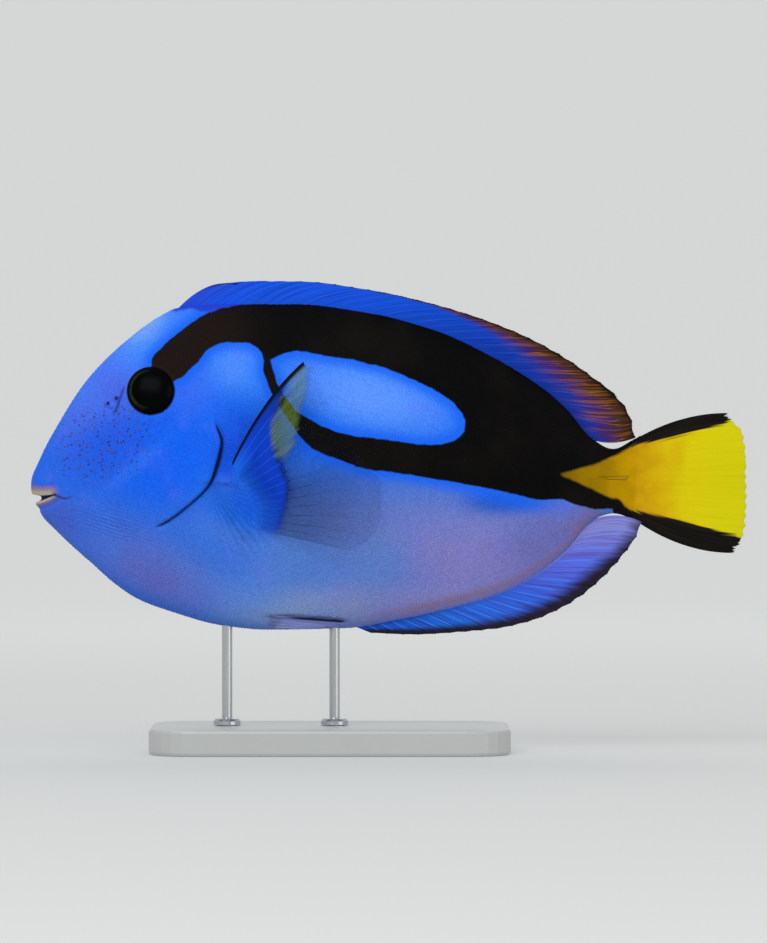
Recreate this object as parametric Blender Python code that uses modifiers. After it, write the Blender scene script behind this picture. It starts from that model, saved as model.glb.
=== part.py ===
"""A life-size regal blue tang, held by a plain display stand.

Lengths are in metres. The fish faces -X, its back is +Z and its left side faces -Y. The origin
is on the floor, under the middle of the fish's length. The proportions of the fish are given in
hundredths of its total length: x back from the tip of the snout, z up from the line of the mouth
and y out from the midline.
"""

import math

import bmesh
import bpy
from mathutils import Matrix, Vector

TOTAL_LENGTH = 0.220
SHARE = TOTAL_LENGTH / 100  # one hundredth of the total length
GAP = 0.0003  # left between two nodes that touch

BASE_LENGTH = 0.110
BASE_DEPTH = 0.070
BASE_THICKNESS = 0.008
BASE_CORNER = 0.014
BASE_EDGE = 0.001
BASE_CENTRE_X = -0.018  # below the fish's centre of mass
BELLY_CLEARANCE = 0.028  # from the base to the lowest fin
ROD_RADIUS = 0.0016
ROD_FOOT_RADIUS = 0.0042
ROD_FOOT_HEIGHT = 0.0022
ROD_SINK = 0.004  # how far a rod goes into the base
ROD_REACH = 0.007  # how far a rod goes into the belly
ROD_PLACES = {"stand_rod_front": 27.4, "stand_rod_rear": 42.4}

# Outlines of the body without its fins
BACK = (
    (0, 0.6), (0.7, 3.2), (3.2, 8.2), (8.2, 15.8), (13.3, 20.8), (18.3, 24.4), (20.6, 25.4),
    (28, 25.9), (37, 25.9), (47.6, 24.6), (56.6, 22.2), (64.4, 18.6), (71.5, 14.2), (75.1, 11.0),
    (78.2, 7.3), (81.3, 5.7), (85, 7.7),
)
BELLY = (
    (0, 0.4), (0.6, -1.7), (1.5, -3.8), (3.2, -5.6), (8.2, -10.2), (11.6, -13.2), (14.9, -15.4),
    (20, -17.3), (26.7, -19.1), (33, -19.7), (43.9, -19.5), (51.5, -18.3), (59.5, -16.5),
    (65.4, -14.7), (71.4, -11.5), (75.3, -8.2), (77.9, -5.0), (79.6, -3.9), (81.3, -3.5),
    (85, -4.7),
)
HALF_WIDTH = (
    (0, 0), (0.4, 1.2), (1.3, 1.9), (2.7, 2.5), (4.9, 3.3), (8.2, 4.3), (12.4, 5.4), (16.6, 6.2),
    (21.5, 6.9), (26.4, 7.3), (32, 7.4), (39, 7.3), (46, 6.9), (53, 6.1), (60, 5.0), (67, 3.8),
    (72.5, 2.8), (76.7, 2.2), (81.3, 1.6), (83.7, 0.9), (85, 0.5),
)
WIDEST_AT = ((0, 0.50), (10, 0.45), (25, 0.42), (45, 0.43), (70, 0.48), (85, 0.50))  # share of depth
BACK_KEEL = ((0, 0.95), (15, 1.05), (30, 1.2), (60, 1.25), (80, 1.05), (85, 0.9))
BELLY_KEEL = ((0, 0.95), (20, 0.95), (40, 1.0), (60, 1.15), (80, 1.05), (85, 0.9))
RING_POINTS = 32
HEAD_RINGS = 22
TRUNK_RINGS = 22
STALK_RINGS = 5
HEAD_REACH = 30  # the head's loft runs past the gill cut
TRUNK_START = 11
STALK_START = 79.5
STALK_END = 85

# The cut between head and trunk: nape, edge of the gill cover, throat
GILL_CUT = (
    (18.4, 32), (19.7, 25.0), (21.2, 20.5), (23.6, 14.5), (25.3, 11.0), (26.2, 8.6), (26.8, 6.6),
    (26.5, 4.6), (25.6, 1.7), (24.0, -0.7), (22.2, -2.4), (20.3, -3.9), (18.6, -5.0),
    (17.0, -6.5), (15.7, -9.6), (14.5, -14.6), (13.9, -22),
)
GILL_COVER_LIFT = 0.0006  # how far the gill cover stands proud of the trunk
GILL_COVER_CENTRE = (22.0, 2.5)
GILL_COVER_REACH = (7.5, 10.0)
GILL_SLIT = ((25.6, 10.4), (26.8, 6.8), (26.2, 3.6), (24.3, -0.4), (21.6, -2.9), (18.5, -5.1))
GILL_SLIT_RADII = (0.0001, 0.0006, 0.0006, 0.0006, 0.0001)

EYE_PLACE = (16.7, 13.7)
EYE_RADIUS = 0.0083
EYE_HALF_DEPTH = 0.0042
EYE_SINK = 0.0023  # from the cheek in to the eyeball's centre
EYE_FACES_UP = 11  # degrees
EYE_FACES_AHEAD = 10
ORBIT_RADIUS = 0.0074
ORBIT_RIM = 0.0006

GAPE = ((-2, -0.2), (0.1, -0.6), (1.4, -0.7), (1.9, -1.0), (1.4, -1.5), (0.7, -1.85), (-2, -3.0))
MOUTH_LINE = ((1.2, -1.05), (2.4, -0.95), (3.4, -0.85), (4.7, -1.2), (6.2, -0.95))
MOUTH_LINE_RADII = (0.0012, 0.0009, 0.0004, 0.00035, 0.0001)
UPPER_LIP = ((0.2, -0.05), (1.2, -0.1), (2.6, -0.15), (4.0, -0.45), (5.6, -0.75))
LOWER_LIP = ((0.85, -2.4), (1.7, -2.1), (2.8, -1.8), (4.0, -1.7), (5.6, -1.35))
LIP_RADII = (0.0012, 0.0011, 0.0009, 0.0006, 0.0002)
LIP_SINK = 0.0007
NOSTRILS = (((12.1, 12.6), 0.0007), ((10.9, 11.9), 0.0006))  # place and radius
NOSTRIL_DEPTH = 0.0012
NOSTRIL_RIM = 0.00025
EYE_GROOVE = ((13.4, 14.6), (12.7, 12.8), (12.0, 11.1), (11.1, 9.6))
EYE_GROOVE_RADII = (0.0002, 0.0005, 0.0005, 0.0001)

TAIL_SPINE_TIP = 79.95
TAIL_SPINE_HINGE = 83.1
TAIL_SPINE_LEVEL = 1.5
TAIL_SPINE_RADIUS = 0.0008

DORSAL_ROOT = (20.6, 77.6)
DORSAL_MARGIN = (
    (28.6, 28.55), (33, 28.95), (38, 28.95), (46.8, 27.9), (56.8, 25.7), (66.9, 22.3), (73.6, 19.0),
    (78.6, 15.6), (82.1, 12.7), (83.8, 10.0), (84.4, 7.2),
)
DORSAL_RAYS = 28  # 9 spines and 19 soft rays
ANAL_ROOT = (44.8, 77.4)
ANAL_MARGIN = (
    (47.6, -20.1), (53.5, -20.35), (60, -20.0), (65.2, -19.5), (70, -18.4), (75.3, -16.0),
    (79.7, -12.6), (82.8, -9.2), (84.7, -6.4), (85.3, -4.6),
)
ANAL_RAYS = 21  # 3 spines and 18 soft rays
CAUDAL_MARGIN = (
    (97.3, 10.6), (98.4, 9.2), (99.5, 7.9), (99.9, 4.0), (100, -1.0), (99.9, -4.6), (99.4, -6.8),
    (98.3, -8.9),
)
CAUDAL_RAYS = 16
CAUDAL_BULGE = (1.05, 1.35)  # of its upper and lower edge
PECTORAL_ROOT = ((28.0, 0.8), (32.2, -5.0))
PECTORAL_MARGIN = (
    (39.1, 17.2), (40.8, 16.2), (43.6, 12.2), (46.4, 7.0), (48.8, 1.6), (49.3, -2.8),
    (47.8, -6.6), (44.6, -8.5),
)
PECTORAL_RAYS = 15
PECTORAL_SPREAD = 0.0075  # how far the fin's margin stands off the flank
PECTORAL_SINK = 0.0016
PECTORAL_CUP = 0.0012
PELVIC_ROOT = ((32.0, -17.5), (32.5, -19.1))
PELVIC_MARGIN = ((43.6, -18.1), (43.8, -18.9), (39.0, -19.6))
PELVIC_RAYS = 4  # 1 spine and 3 soft rays
PELVIC_SINK = 0.0012
PELVIC_LIFT = 0.0007  # the folded fin's tip lies this far off the belly
PELVIC_LOW = -19.0  # the belly's width is read no lower than this
PELVIC_BULGE = 0.0013

WEB_THICKNESS = 0.0005
MARGIN_RAY_THICKNESS = 0.00065
SCALLOP = 0.012  # share of a ray's length by which the web falls short of its tip
RAY_FOOT = 0.27  # half a ray's width at its foot, as a share of the ray spacing
ROOT_SINK = 0.0004  # fins start this far under the skin before they are cut clear of it
REAR_TIP_SWAY = 0.0022  # dorsal and anal fins end beside the tail fin's base

MOUTH_HEIGHT = BASE_THICKNESS + BELLY_CLEARANCE + 20.3 * SHARE


def clear_scene():
    for leftover in list(bpy.data.objects):
        bpy.data.objects.remove(leftover)


def smooth(knots, t):
    """Value at t of a curve through (t, value) knots that never overshoots them."""
    if t <= knots[0][0]:
        return knots[0][1]
    if t >= knots[-1][0]:
        return knots[-1][1]
    slopes = [(b[1] - a[1]) / (b[0] - a[0]) for a, b in zip(knots, knots[1:])]
    tangents = [slopes[0]]
    for before, after in zip(slopes, slopes[1:]):
        both = before * after
        tangents.append(2 * both / (before + after) if both > 0 else 0.0)
    tangents.append(slopes[-1])
    i = next(k for k in range(len(slopes)) if t <= knots[k + 1][0])
    width = knots[i + 1][0] - knots[i][0]
    s = (t - knots[i][0]) / width
    return (
        (1 + 2 * s) * (1 - s) ** 2 * knots[i][1]
        + s * s * (3 - 2 * s) * knots[i + 1][1]
        + width * s * (1 - s) * ((1 - s) * tangents[i] - s * tangents[i + 1])
    )


def profile(knots, x):
    """As smooth, with x taken by its root, so that the blunt snout is followed closely."""
    return smooth([(math.sqrt(kx), value) for kx, value in knots], math.sqrt(max(x, 0.0)))


def path(points, s):
    """The place at share s of a smooth curve through the points."""
    lengths = [0.0]
    for a, b in zip(points, points[1:]):
        lengths.append(lengths[-1] + math.dist(a, b))
    t = s * lengths[-1]
    return tuple(smooth(list(zip(lengths, values)), t) for values in zip(*points))


def world(x, y, z):
    """A place in hundredths of the total length as a place in metres."""
    return Vector((x * SHARE - TOTAL_LENGTH / 2, y * SHARE, z * SHARE + MOUTH_HEIGHT))


def half_width_at(x, z):
    """Half the body's width at a place in its side view, in hundredths."""
    top, bottom = profile(BACK, x), profile(BELLY, x)
    middle = bottom + smooth(WIDEST_AT, x) * (top - bottom)
    above = z >= middle
    rise = (z - middle) / ((top if above else bottom) - middle)
    keel = smooth(BACK_KEEL if above else BELLY_KEEL, x)
    return profile(HALF_WIDTH, x) * max(1 - rise * rise, 0.0) ** (keel / 2)


def flank(x, z, side, lift=0.0):
    """A place on the skin of one side, or lift metres outside it."""
    return world(x, 0, z) + Vector((0, side * (half_width_at(x, z) * SHARE + lift), 0))


def section(x, grow=0.0, lift_cover=False):
    """One ring of the body, grown by grow metres all round."""
    top = profile(BACK, x) * SHARE + grow
    bottom = profile(BELLY, x) * SHARE - grow
    middle = bottom + smooth(WIDEST_AT, x) * (top - bottom)
    width = profile(HALF_WIDTH, x) * SHARE + (grow if x > 0 else 0.0)
    ring = []
    for k in range(RING_POINTS):
        turn = 2 * math.pi * k / RING_POINTS
        rise, out = math.sin(turn), math.cos(turn)
        keel = smooth(BACK_KEEL if rise > 0 else BELLY_KEEL, x)
        z = middle + rise * ((top - middle) if rise > 0 else (middle - bottom))
        y = math.copysign(abs(out) ** keel, out) * width
        if lift_cover:
            off_x = (x - GILL_COVER_CENTRE[0]) / GILL_COVER_REACH[0]
            off_z = (z / SHARE - GILL_COVER_CENTRE[1]) / GILL_COVER_REACH[1]
            y += out * GILL_COVER_LIFT * math.exp(-off_x * off_x - off_z * off_z)
        ring.append(world(x, 0, 0) + Vector((0, y, z)))
    return ring


def new_object(name, mesh, collection, material=None):
    made = bpy.data.objects.new(name, mesh)
    collection.objects.link(made)
    if material:
        made.data.materials.append(material)
    return made


def mesh_from(bm, name):
    bmesh.ops.recalc_face_normals(bm, faces=bm.faces)
    mesh = bpy.data.meshes.new(name)
    bm.to_mesh(mesh)
    bm.free()
    return mesh


def loft(name, rings, collection, material=None):
    """Skins the rings, which all have as many points, and closes both ends."""
    bm = bmesh.new()
    rows = [[bm.verts.new(place) for place in ring] for ring in rings]
    for low, high in zip(rows, rows[1:]):
        for k in range(len(low)):
            n = (k + 1) % len(low)
            bm.faces.new((low[k], low[n], high[n], high[k]))
    bm.faces.new(rows[0])
    bm.faces.new(rows[-1])
    bmesh.ops.remove_doubles(bm, verts=bm.verts, dist=1e-6)
    bmesh.ops.triangulate(bm, faces=bm.faces)
    return new_object(name, mesh_from(bm, name), collection, material)


def spaced(start, end, rings, crowd=1.0):
    """Where the rings go. crowd above 1 sets them closer at the start, below 1 at the end."""
    return [start + (end - start) * (k / rings) ** crowd for k in range(rings + 1)]


def trunk_places():
    return spaced(TRUNK_START, STALK_START, TRUNK_RINGS, 0.75)


def stalk_places():
    return spaced(STALK_START, STALK_END, STALK_RINGS)


def body_loft(name, places, collection, material=None, grow=0.0, lift_cover=False):
    """A length of the body through rings at the places."""
    return loft(name, [section(x, grow, lift_cover) for x in places], collection, material)


def tube(name, places, radii, collection, sides=2):
    """A closed, tapered tube along a smooth line of places."""
    curve = bpy.data.curves.new(name, "CURVE")
    curve.dimensions = "3D"
    curve.bevel_depth = 1.0
    curve.bevel_resolution = sides
    curve.use_fill_caps = True
    line = curve.splines.new("POLY")
    line.points.add(len(places) - 1)
    for point, place, radius in zip(line.points, places, radii):
        point.co = (*place, 1)
        point.radius = radius
    drawn = new_object(name, curve, collection)
    bpy.context.view_layer.update()
    evaluated = drawn.evaluated_get(bpy.context.evaluated_depsgraph_get())
    mesh = bpy.data.meshes.new_from_object(evaluated)
    bpy.data.objects.remove(drawn)
    bm = bmesh.new()
    bm.from_mesh(mesh)
    bmesh.ops.remove_doubles(bm, verts=bm.verts, dist=1e-6)
    bpy.data.meshes.remove(mesh)
    return new_object(name, mesh_from(bm, name), collection)


def lip(name, points, steps, collection):
    """A tapered roll that runs round the snout from the corner of the mouth on one side to the
    other."""
    shares = [(k / steps) ** 1.7 for k in range(steps + 1)]
    knots = [(k / (len(LIP_RADII) - 1), radius) for k, radius in enumerate(LIP_RADII)]
    places, widths = [], []
    for side, order in ((-1, shares[::-1]), (1, shares[1:])):
        for s in order:
            x, z = path(points, s)
            out = half_width_at(x, z) * SHARE * min(6 * s, 1) ** 0.5
            inward = Vector((LIP_SINK * max(1 - 2.5 * s, 0), -side * LIP_SINK * min(8 * s, 1), 0))
            places.append(world(x, 0, z) + Vector((0, side * out, 0)) + inward)
            widths.append(smooth(knots, s))
    return tube(name, places, widths, collection)


def flank_line(name, points, radii, side, steps, collection):
    """A tapered tube along a line on one side of the body."""
    knots = [(k / (len(radii) - 1), radius) for k, radius in enumerate(radii)]
    places, widths = [], []
    for k in range(steps + 1):
        x, z = path(points, k / steps)
        places.append(flank(x, z, side))
        widths.append(smooth(knots, k / steps))
    return tube(name, places, widths, collection, sides=1)


def ellipsoid(name, radii, place, turn, collection, material=None, segments=20, rings=12):
    """A ball with its pole along its own Y, set at a place and turned."""
    bm = bmesh.new()
    bmesh.ops.create_uvsphere(bm, u_segments=segments, v_segments=rings, radius=1.0)
    bmesh.ops.rotate(bm, verts=bm.verts, matrix=Matrix.Rotation(math.pi / 2, 3, "X"))
    bmesh.ops.scale(bm, verts=bm.verts, vec=radii)
    made = new_object(name, mesh_from(bm, name), collection, material)
    made.rotation_euler = turn
    made.location = place
    return made


def cylinder(name, radius, low, high, x, y, collection, segments=24):
    bm = bmesh.new()
    bmesh.ops.create_cone(
        bm, cap_ends=True, segments=segments, radius1=radius, radius2=radius, depth=high - low
    )
    made = new_object(name, mesh_from(bm, name), collection)
    made.location = (x, y, (low + high) / 2)
    return made


def prism(name, outline, half_depth, collection):
    """A side-view outline, in hundredths, made a block that runs right through the fish."""
    bm = bmesh.new()
    near = [bm.verts.new(world(x, 0, z) - Vector((0, half_depth, 0))) for x, z in outline]
    face = bm.faces.new(near)
    pulled = bmesh.ops.extrude_face_region(bm, geom=[face])["geom"]
    moved = [part for part in pulled if isinstance(part, bmesh.types.BMVert)]
    bmesh.ops.translate(bm, verts=moved, vec=(0, 2 * half_depth, 0))
    bmesh.ops.triangulate(bm, faces=bm.faces)
    return new_object(name, mesh_from(bm, name), collection)


def boolean(target, operation, tools):
    """Cuts the target with each tool, for good."""
    for tool in tools:
        modifier = target.modifiers.new(tool.name, "BOOLEAN")
        modifier.operation = operation
        modifier.object = tool
    settle(target)


def unite(target, pieces):
    """Fuses closed pieces into the target in one union and removes them."""
    joined = bpy.data.collections.new(target.name + "_pieces")
    for piece in pieces:
        joined.objects.link(piece)
    modifier = target.modifiers.new("union", "BOOLEAN")
    modifier.operation = "UNION"
    modifier.operand_type = "COLLECTION"
    modifier.collection = joined
    settle(target)
    for piece in pieces:
        bpy.data.objects.remove(piece)
    bpy.data.collections.remove(joined)


def settle(target):
    """Applies an object's modifiers and keeps the largest closed surface."""
    bpy.context.view_layer.update()
    evaluated = target.evaluated_get(bpy.context.evaluated_depsgraph_get())
    mesh = bpy.data.meshes.new_from_object(evaluated)
    target.modifiers.clear()
    old = target.data
    target.data = mesh
    bpy.data.meshes.remove(old)
    bm = bmesh.new()
    bm.from_mesh(mesh)
    left = set(bm.verts)
    shells = []
    while left:
        shell = set()
        ahead = [left.pop()]
        while ahead:
            vert = ahead.pop()
            shell.add(vert)
            for edge in vert.link_edges:
                other = edge.other_vert(vert)
                if other in left:
                    left.remove(other)
                    ahead.append(other)
        shells.append(shell)
    shells.sort(key=len)
    for scrap in shells[:-1]:
        bmesh.ops.delete(bm, geom=list(scrap), context="VERTS")
    bm.to_mesh(mesh)
    bm.free()


def hide(cutters):
    for cutter in cutters:
        cutter.hide_render = True
        cutter.display_type = "WIRE"


def fin(name, place, rays, rows, root_thickness, ray_extra, collection, material):
    """A webbed fin with raised rays. place(u, v) is a point of its middle surface, with u from
    the first ray to the last and v from the root to the margin."""
    spacing = 1 / (rays - 1)
    columns = []
    for k in range(rays):
        if k > 0:
            columns.append(((k - RAY_FOOT) * spacing, False))
        columns.append((k * spacing, True))
        if k < rays - 1:
            columns.append(((k + RAY_FOOT) * spacing, False))
    bm = bmesh.new()
    bmesh.ops.create_grid(bm, x_segments=len(columns) - 1, y_segments=rows, size=0.5)
    thickest = root_thickness + ray_extra
    weights = {}
    for vert in bm.verts:
        u, is_ray = columns[round((vert.co.x + 0.5) * (len(columns) - 1))]
        v = round((vert.co.y + 0.5) * rows) / rows
        web = WEB_THICKNESS + (root_thickness - WEB_THICKNESS) * (1 - v) ** 3
        ray = web + min(6 * v, 1) * (ray_extra * (1 - v) + MARGIN_RAY_THICKNESS - WEB_THICKNESS)
        weights[vert.index] = (ray if is_ray else web) / thickest
        vert.co = place(u, v if is_ray else v * (1 - SCALLOP * v * v))
    bmesh.ops.triangulate(bm, faces=bm.faces)
    made = new_object(name, mesh_from(bm, name), collection, material)
    group = made.vertex_groups.new(name="thickness")
    for index, weight in weights.items():
        group.add([index], min(weight, 1.0), "REPLACE")
    skin = made.modifiers.new("thickness", "SOLIDIFY")
    skin.thickness = thickest
    skin.offset = 0
    skin.vertex_group = group.name
    return made


def ridge(knots, x, lift, up):
    """A point on the midline of the back (up 1) or belly (up -1), lift metres off it."""
    step = 0.2
    ahead = world(x - step, 0, profile(knots, x - step))
    behind = world(x + step, 0, profile(knots, x + step))
    along = (behind - ahead).normalized()
    off = Vector((-along.z, 0, along.x)) * up
    return world(x, 0, profile(knots, x)) + off * lift


def median_fin(name, knots, up, root, margin, rays, bows, clearance, collection, material):
    """The dorsal fin (up 1) or anal fin (up -1), which leans back and ends beside the tail."""

    def place(u, v):
        start = ridge(knots, root[0] + (root[1] - root[0]) * u, -ROOT_SINK, up)
        x, z = path(margin, u)
        end = world(x, 0, z)
        bow = bows[0] * (1 - u) ** 2 - bows[1] * u**8
        arch = Vector((0, 0, up * bow * SHARE)) * (4 * v * (1 - v))
        sway = -REAR_TIP_SWAY * (u * v) ** 3
        ripple = 0.0004 * math.sin(9 * u) * v * (1 - u**4)
        return start.lerp(end, v) + arch + Vector((0, sway + ripple, 0))

    made = fin(name, place, rays, 5, 0.0016, 0.0005, collection, material)
    settle(made)
    boolean(made, "DIFFERENCE", [clearance])
    return made


def caudal_fin(collection, material):
    top, bottom = profile(BACK, STALK_END), profile(BELLY, STALK_END)

    def place(u, v):
        start = world(STALK_END, 0, top + (bottom - top) * u) + Vector((GAP, 0, 0))
        x, z = path(CAUDAL_MARGIN, u)
        end = world(x, 0, z)
        bulge = CAUDAL_BULGE[0] if u < 0.5 else CAUDAL_BULGE[1]
        bow = bulge * SHARE * (1 - 2 * u) * 4 * v * (1 - v)
        return start.lerp(end, v) + Vector((0, 0, bow))

    return fin("caudal_fin", place, CAUDAL_RAYS, 7, 0.0014, 0.0005, collection, material)


def pectoral_fin(name, side, clearance, collection, material):
    (top_x, top_z), (low_x, low_z) = PECTORAL_ROOT

    def place(u, v):
        x0, z0 = top_x + (low_x - top_x) * u, top_z + (low_z - top_z) * u
        start = flank(x0, z0, side, -PECTORAL_SINK)
        x, z = path(PECTORAL_MARGIN, u)
        end = flank(x0, z0, side, PECTORAL_SPREAD)
        end.x, end.z = world(x, 0, z).xz
        cup = side * PECTORAL_CUP * 4 * v * (1 - v)
        return start.lerp(end, v) + Vector((0, cup, 0))

    made = fin(name, place, PECTORAL_RAYS, 5, 0.0020, 0.0004, collection, material)
    settle(made)
    boolean(made, "DIFFERENCE", [clearance])
    return made


def pelvic_fin(name, side, clearance, collection, material):
    (top_x, top_z), (low_x, low_z) = PELVIC_ROOT

    def place(u, v):
        x0, z0 = top_x + (low_x - top_x) * u, top_z + (low_z - top_z) * u
        start = flank(x0, z0, side, -PELVIC_SINK)
        x, z = path(PELVIC_MARGIN, u)
        end = flank(x, max(z, PELVIC_LOW), side, PELVIC_LIFT)
        end.z = world(x, 0, z).z
        return start.lerp(end, v) + Vector((0, side * PELVIC_BULGE * 4 * v * (1 - v), 0))

    made = fin(name, place, PELVIC_RAYS, 6, 0.0012, 0.0004, collection, material)
    settle(made)
    boolean(made, "DIFFERENCE", [clearance])
    return made


def eye_turn(side):
    return (side * math.radians(EYE_FACES_UP), 0, side * math.radians(EYE_FACES_AHEAD))


def eyes_and_orbits(collection, cutters, material):
    """Both eyeballs, the sockets that clear them, and the raised rims round them."""
    sockets, rims = [], []
    for side, word in ((-1, "left"), (1, "right")):
        centre = flank(*EYE_PLACE, side, -EYE_SINK)
        radii = (EYE_RADIUS, EYE_HALF_DEPTH, EYE_RADIUS)
        turn = eye_turn(side)
        ellipsoid("eye_" + word, radii, centre, turn, collection, material)
        wide = tuple(radius + GAP for radius in radii)
        sockets.append(ellipsoid("socket_" + word, wide, centre, turn, cutters))
        edge = disc_edge(EYE_PLACE, ORBIT_RADIUS, side, 20)
        rims.append(ring_tube("rim_" + word, edge, ORBIT_RIM, cutters))
    return sockets, rims


def disc_edge(spot, radius, side, steps):
    """Places on the skin, radius metres round a spot of the side view."""
    turns = [2 * math.pi * k / steps for k in range(steps)]
    reach = radius / SHARE
    return [flank(spot[0] + reach * math.cos(t), spot[1] + reach * math.sin(t), side) for t in turns]


def ring_tube(name, places, radius, collection, sides=6):
    """A closed ring of round section along the places."""
    centre = sum(places, Vector()) / len(places)
    axis = (places[0] - centre).cross(places[len(places) // 4] - centre).normalized()
    rows = []
    bm = bmesh.new()
    for place in places:
        out = (place - centre).normalized()
        row = []
        for k in range(sides):
            turn = 2 * math.pi * k / sides
            row.append(bm.verts.new(place + (out * math.cos(turn) + axis * math.sin(turn)) * radius))
        rows.append(row)
    for k, row in enumerate(rows):
        following = rows[(k + 1) % len(rows)]
        for j in range(sides):
            n = (j + 1) % sides
            bm.faces.new((row[j], row[n], following[n], following[j]))
    return new_object(name, mesh_from(bm, name), collection)


def tail_spine(word, side, collection, cutters, material):
    """The folded blade at the tail's base, and a copy that is larger by the gap."""
    hinge = flank(TAIL_SPINE_HINGE, TAIL_SPINE_LEVEL, side)
    tip = flank(TAIL_SPINE_TIP, TAIL_SPINE_LEVEL, side)
    made = []
    for extra, where, name in ((0, collection, "tail_spine_" + word), (GAP, cutters, "groove_" + word)):
        bm = bmesh.new()
        bmesh.ops.create_cone(
            bm, cap_ends=True, segments=10, radius1=TAIL_SPINE_RADIUS + extra,
            radius2=TAIL_SPINE_RADIUS * 0.2 + extra, depth=(hinge - tip).length + 2 * extra,
        )
        bmesh.ops.scale(bm, verts=bm.verts, vec=(1, 0.8, 1))
        blade = new_object(name, mesh_from(bm, name), where, material if not extra else None)
        blade.rotation_mode = "QUATERNION"
        blade.rotation_quaternion = (tip - hinge).to_track_quat("Z", "Y")
        blade.location = (hinge + tip) / 2
        made.append(blade)
    return made[1]


def gill_block(name, shift, cutters):
    """All that lies ahead of the cut between head and trunk, moved back by shift metres."""
    steps = 40
    cut = [path(GILL_CUT, k / steps) for k in range(steps + 1)]
    moved = []
    for k, (x, z) in enumerate(cut):
        before, after = cut[max(k - 1, 0)], cut[min(k + 1, steps)]
        along = Vector((after[0] - before[0], after[1] - before[1])).normalized()
        moved.append((x - along.y * shift / SHARE, z + along.x * shift / SHARE))
    return prism(name, moved + [(-6, moved[-1][1]), (-6, moved[0][1])], 0.04, cutters)


def head(collection, cutters, sockets, rims, material):
    places = spaced(0, HEAD_REACH, HEAD_RINGS, 1.7)
    made = body_loft("head", places, collection, material, lift_cover=True)
    boolean(made, "INTERSECT", [gill_block("ahead_of_gills", 0, cutters)])
    ridges = rims + [lip("upper_lip", UPPER_LIP, 9, cutters), lip("lower_lip", LOWER_LIP, 9, cutters)]
    tools = sockets + [prism("gape", GAPE, 0.02, cutters)]
    for side, word in ((-1, "left"), (1, "right")):
        for k, (spot, radius) in enumerate(NOSTRILS):
            pit = (radius, NOSTRIL_DEPTH, radius)
            place = flank(*spot, side)
            hole = ellipsoid(f"nostril_{k}_{word}", pit, place, (0, 0, 0), cutters, segments=8, rings=6)
            tools.append(hole)
            edge = disc_edge(spot, radius + NOSTRIL_RIM * 0.6, side, 8)
            ridges.append(ring_tube(f"nostril_rim_{k}_{word}", edge, NOSTRIL_RIM, cutters, 5))
        tools.append(flank_line("eye_groove_" + word, EYE_GROOVE, EYE_GROOVE_RADII, side, 6, cutters))
        tools.append(flank_line("mouth_line_" + word, MOUTH_LINE, MOUTH_LINE_RADII, side, 8, cutters))
    unite(made, ridges)
    boolean(made, "DIFFERENCE", tools)
    return made


def trunk(collection, cutters, rod_holes, material):
    made = body_loft("trunk", trunk_places(), collection, material)
    slits = [
        flank_line("gill_slit_" + word, GILL_SLIT, GILL_SLIT_RADII, side, 12, cutters)
        for side, word in ((-1, "left"), (1, "right"))
    ]
    boolean(made, "DIFFERENCE", [gill_block("up_to_gills", GAP, cutters)] + slits + rod_holes)
    return made


def tail_stalk(collection, grooves, material):
    made = body_loft("tail_stalk", [STALK_START + GAP / SHARE] + stalk_places()[1:], collection, material)
    boolean(made, "DIFFERENCE", grooves)
    return made


def stand_base(collection, sockets, material):
    bm = bmesh.new()
    bmesh.ops.create_cube(bm, size=1.0)
    bmesh.ops.scale(bm, verts=bm.verts, vec=(BASE_LENGTH, BASE_DEPTH, BASE_THICKNESS))
    upright = [e for e in bm.edges if abs(e.verts[0].co.z - e.verts[1].co.z) > BASE_THICKNESS / 2]
    bmesh.ops.bevel(bm, geom=upright, offset=BASE_CORNER, segments=6, profile=0.5, affect="EDGES")
    made = new_object("stand_base", mesh_from(bm, "stand_base"), collection, material)
    made.location = (BASE_CENTRE_X, 0, BASE_THICKNESS / 2)
    edge = made.modifiers.new("edge", "BEVEL")
    edge.width = BASE_EDGE
    edge.segments = 2
    edge.limit_method = "ANGLE"
    edge.angle_limit = math.radians(60)
    settle(made)
    boolean(made, "DIFFERENCE", sockets)
    return made


def stand_rod(name, x, top, collection, material):
    """A turned rod with a low round foot on the base, from its sunk end up to the belly."""
    low = BASE_THICKNESS - ROD_SINK + GAP
    foot = BASE_THICKNESS + GAP
    outline = (
        (0, top), (ROD_RADIUS, top), (ROD_RADIUS, foot + ROD_FOOT_HEIGHT),
        (ROD_FOOT_RADIUS - 0.0006, foot + ROD_FOOT_HEIGHT - 0.0004),
        (ROD_FOOT_RADIUS, foot + ROD_FOOT_HEIGHT / 2), (ROD_FOOT_RADIUS, foot),
        (ROD_RADIUS, foot), (ROD_RADIUS, low), (0, low),
    )
    bm = bmesh.new()
    points = [bm.verts.new((radius, 0, z)) for radius, z in outline]
    for a, b in zip(points, points[1:]):
        bm.edges.new((a, b))
    mesh = bpy.data.meshes.new(name)
    bm.to_mesh(mesh)
    bm.free()
    made = new_object(name, mesh, collection, material)
    made.location = (x, 0, 0)
    turned = made.modifiers.new("turned", "SCREW")
    turned.steps = turned.render_steps = 20
    turned.use_merge_vertices = True
    turned.merge_threshold = 0.00001
    return made


def finish(name, colour, roughness, metallic=0.0):
    material = bpy.data.materials.new(name)
    material.use_nodes = True
    shader = material.node_tree.nodes["Principled BSDF"]
    shader.inputs["Base Color"].default_value = (*colour, 1)
    shader.inputs["Roughness"].default_value = roughness
    shader.inputs["Metallic"].default_value = metallic
    return material


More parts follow.
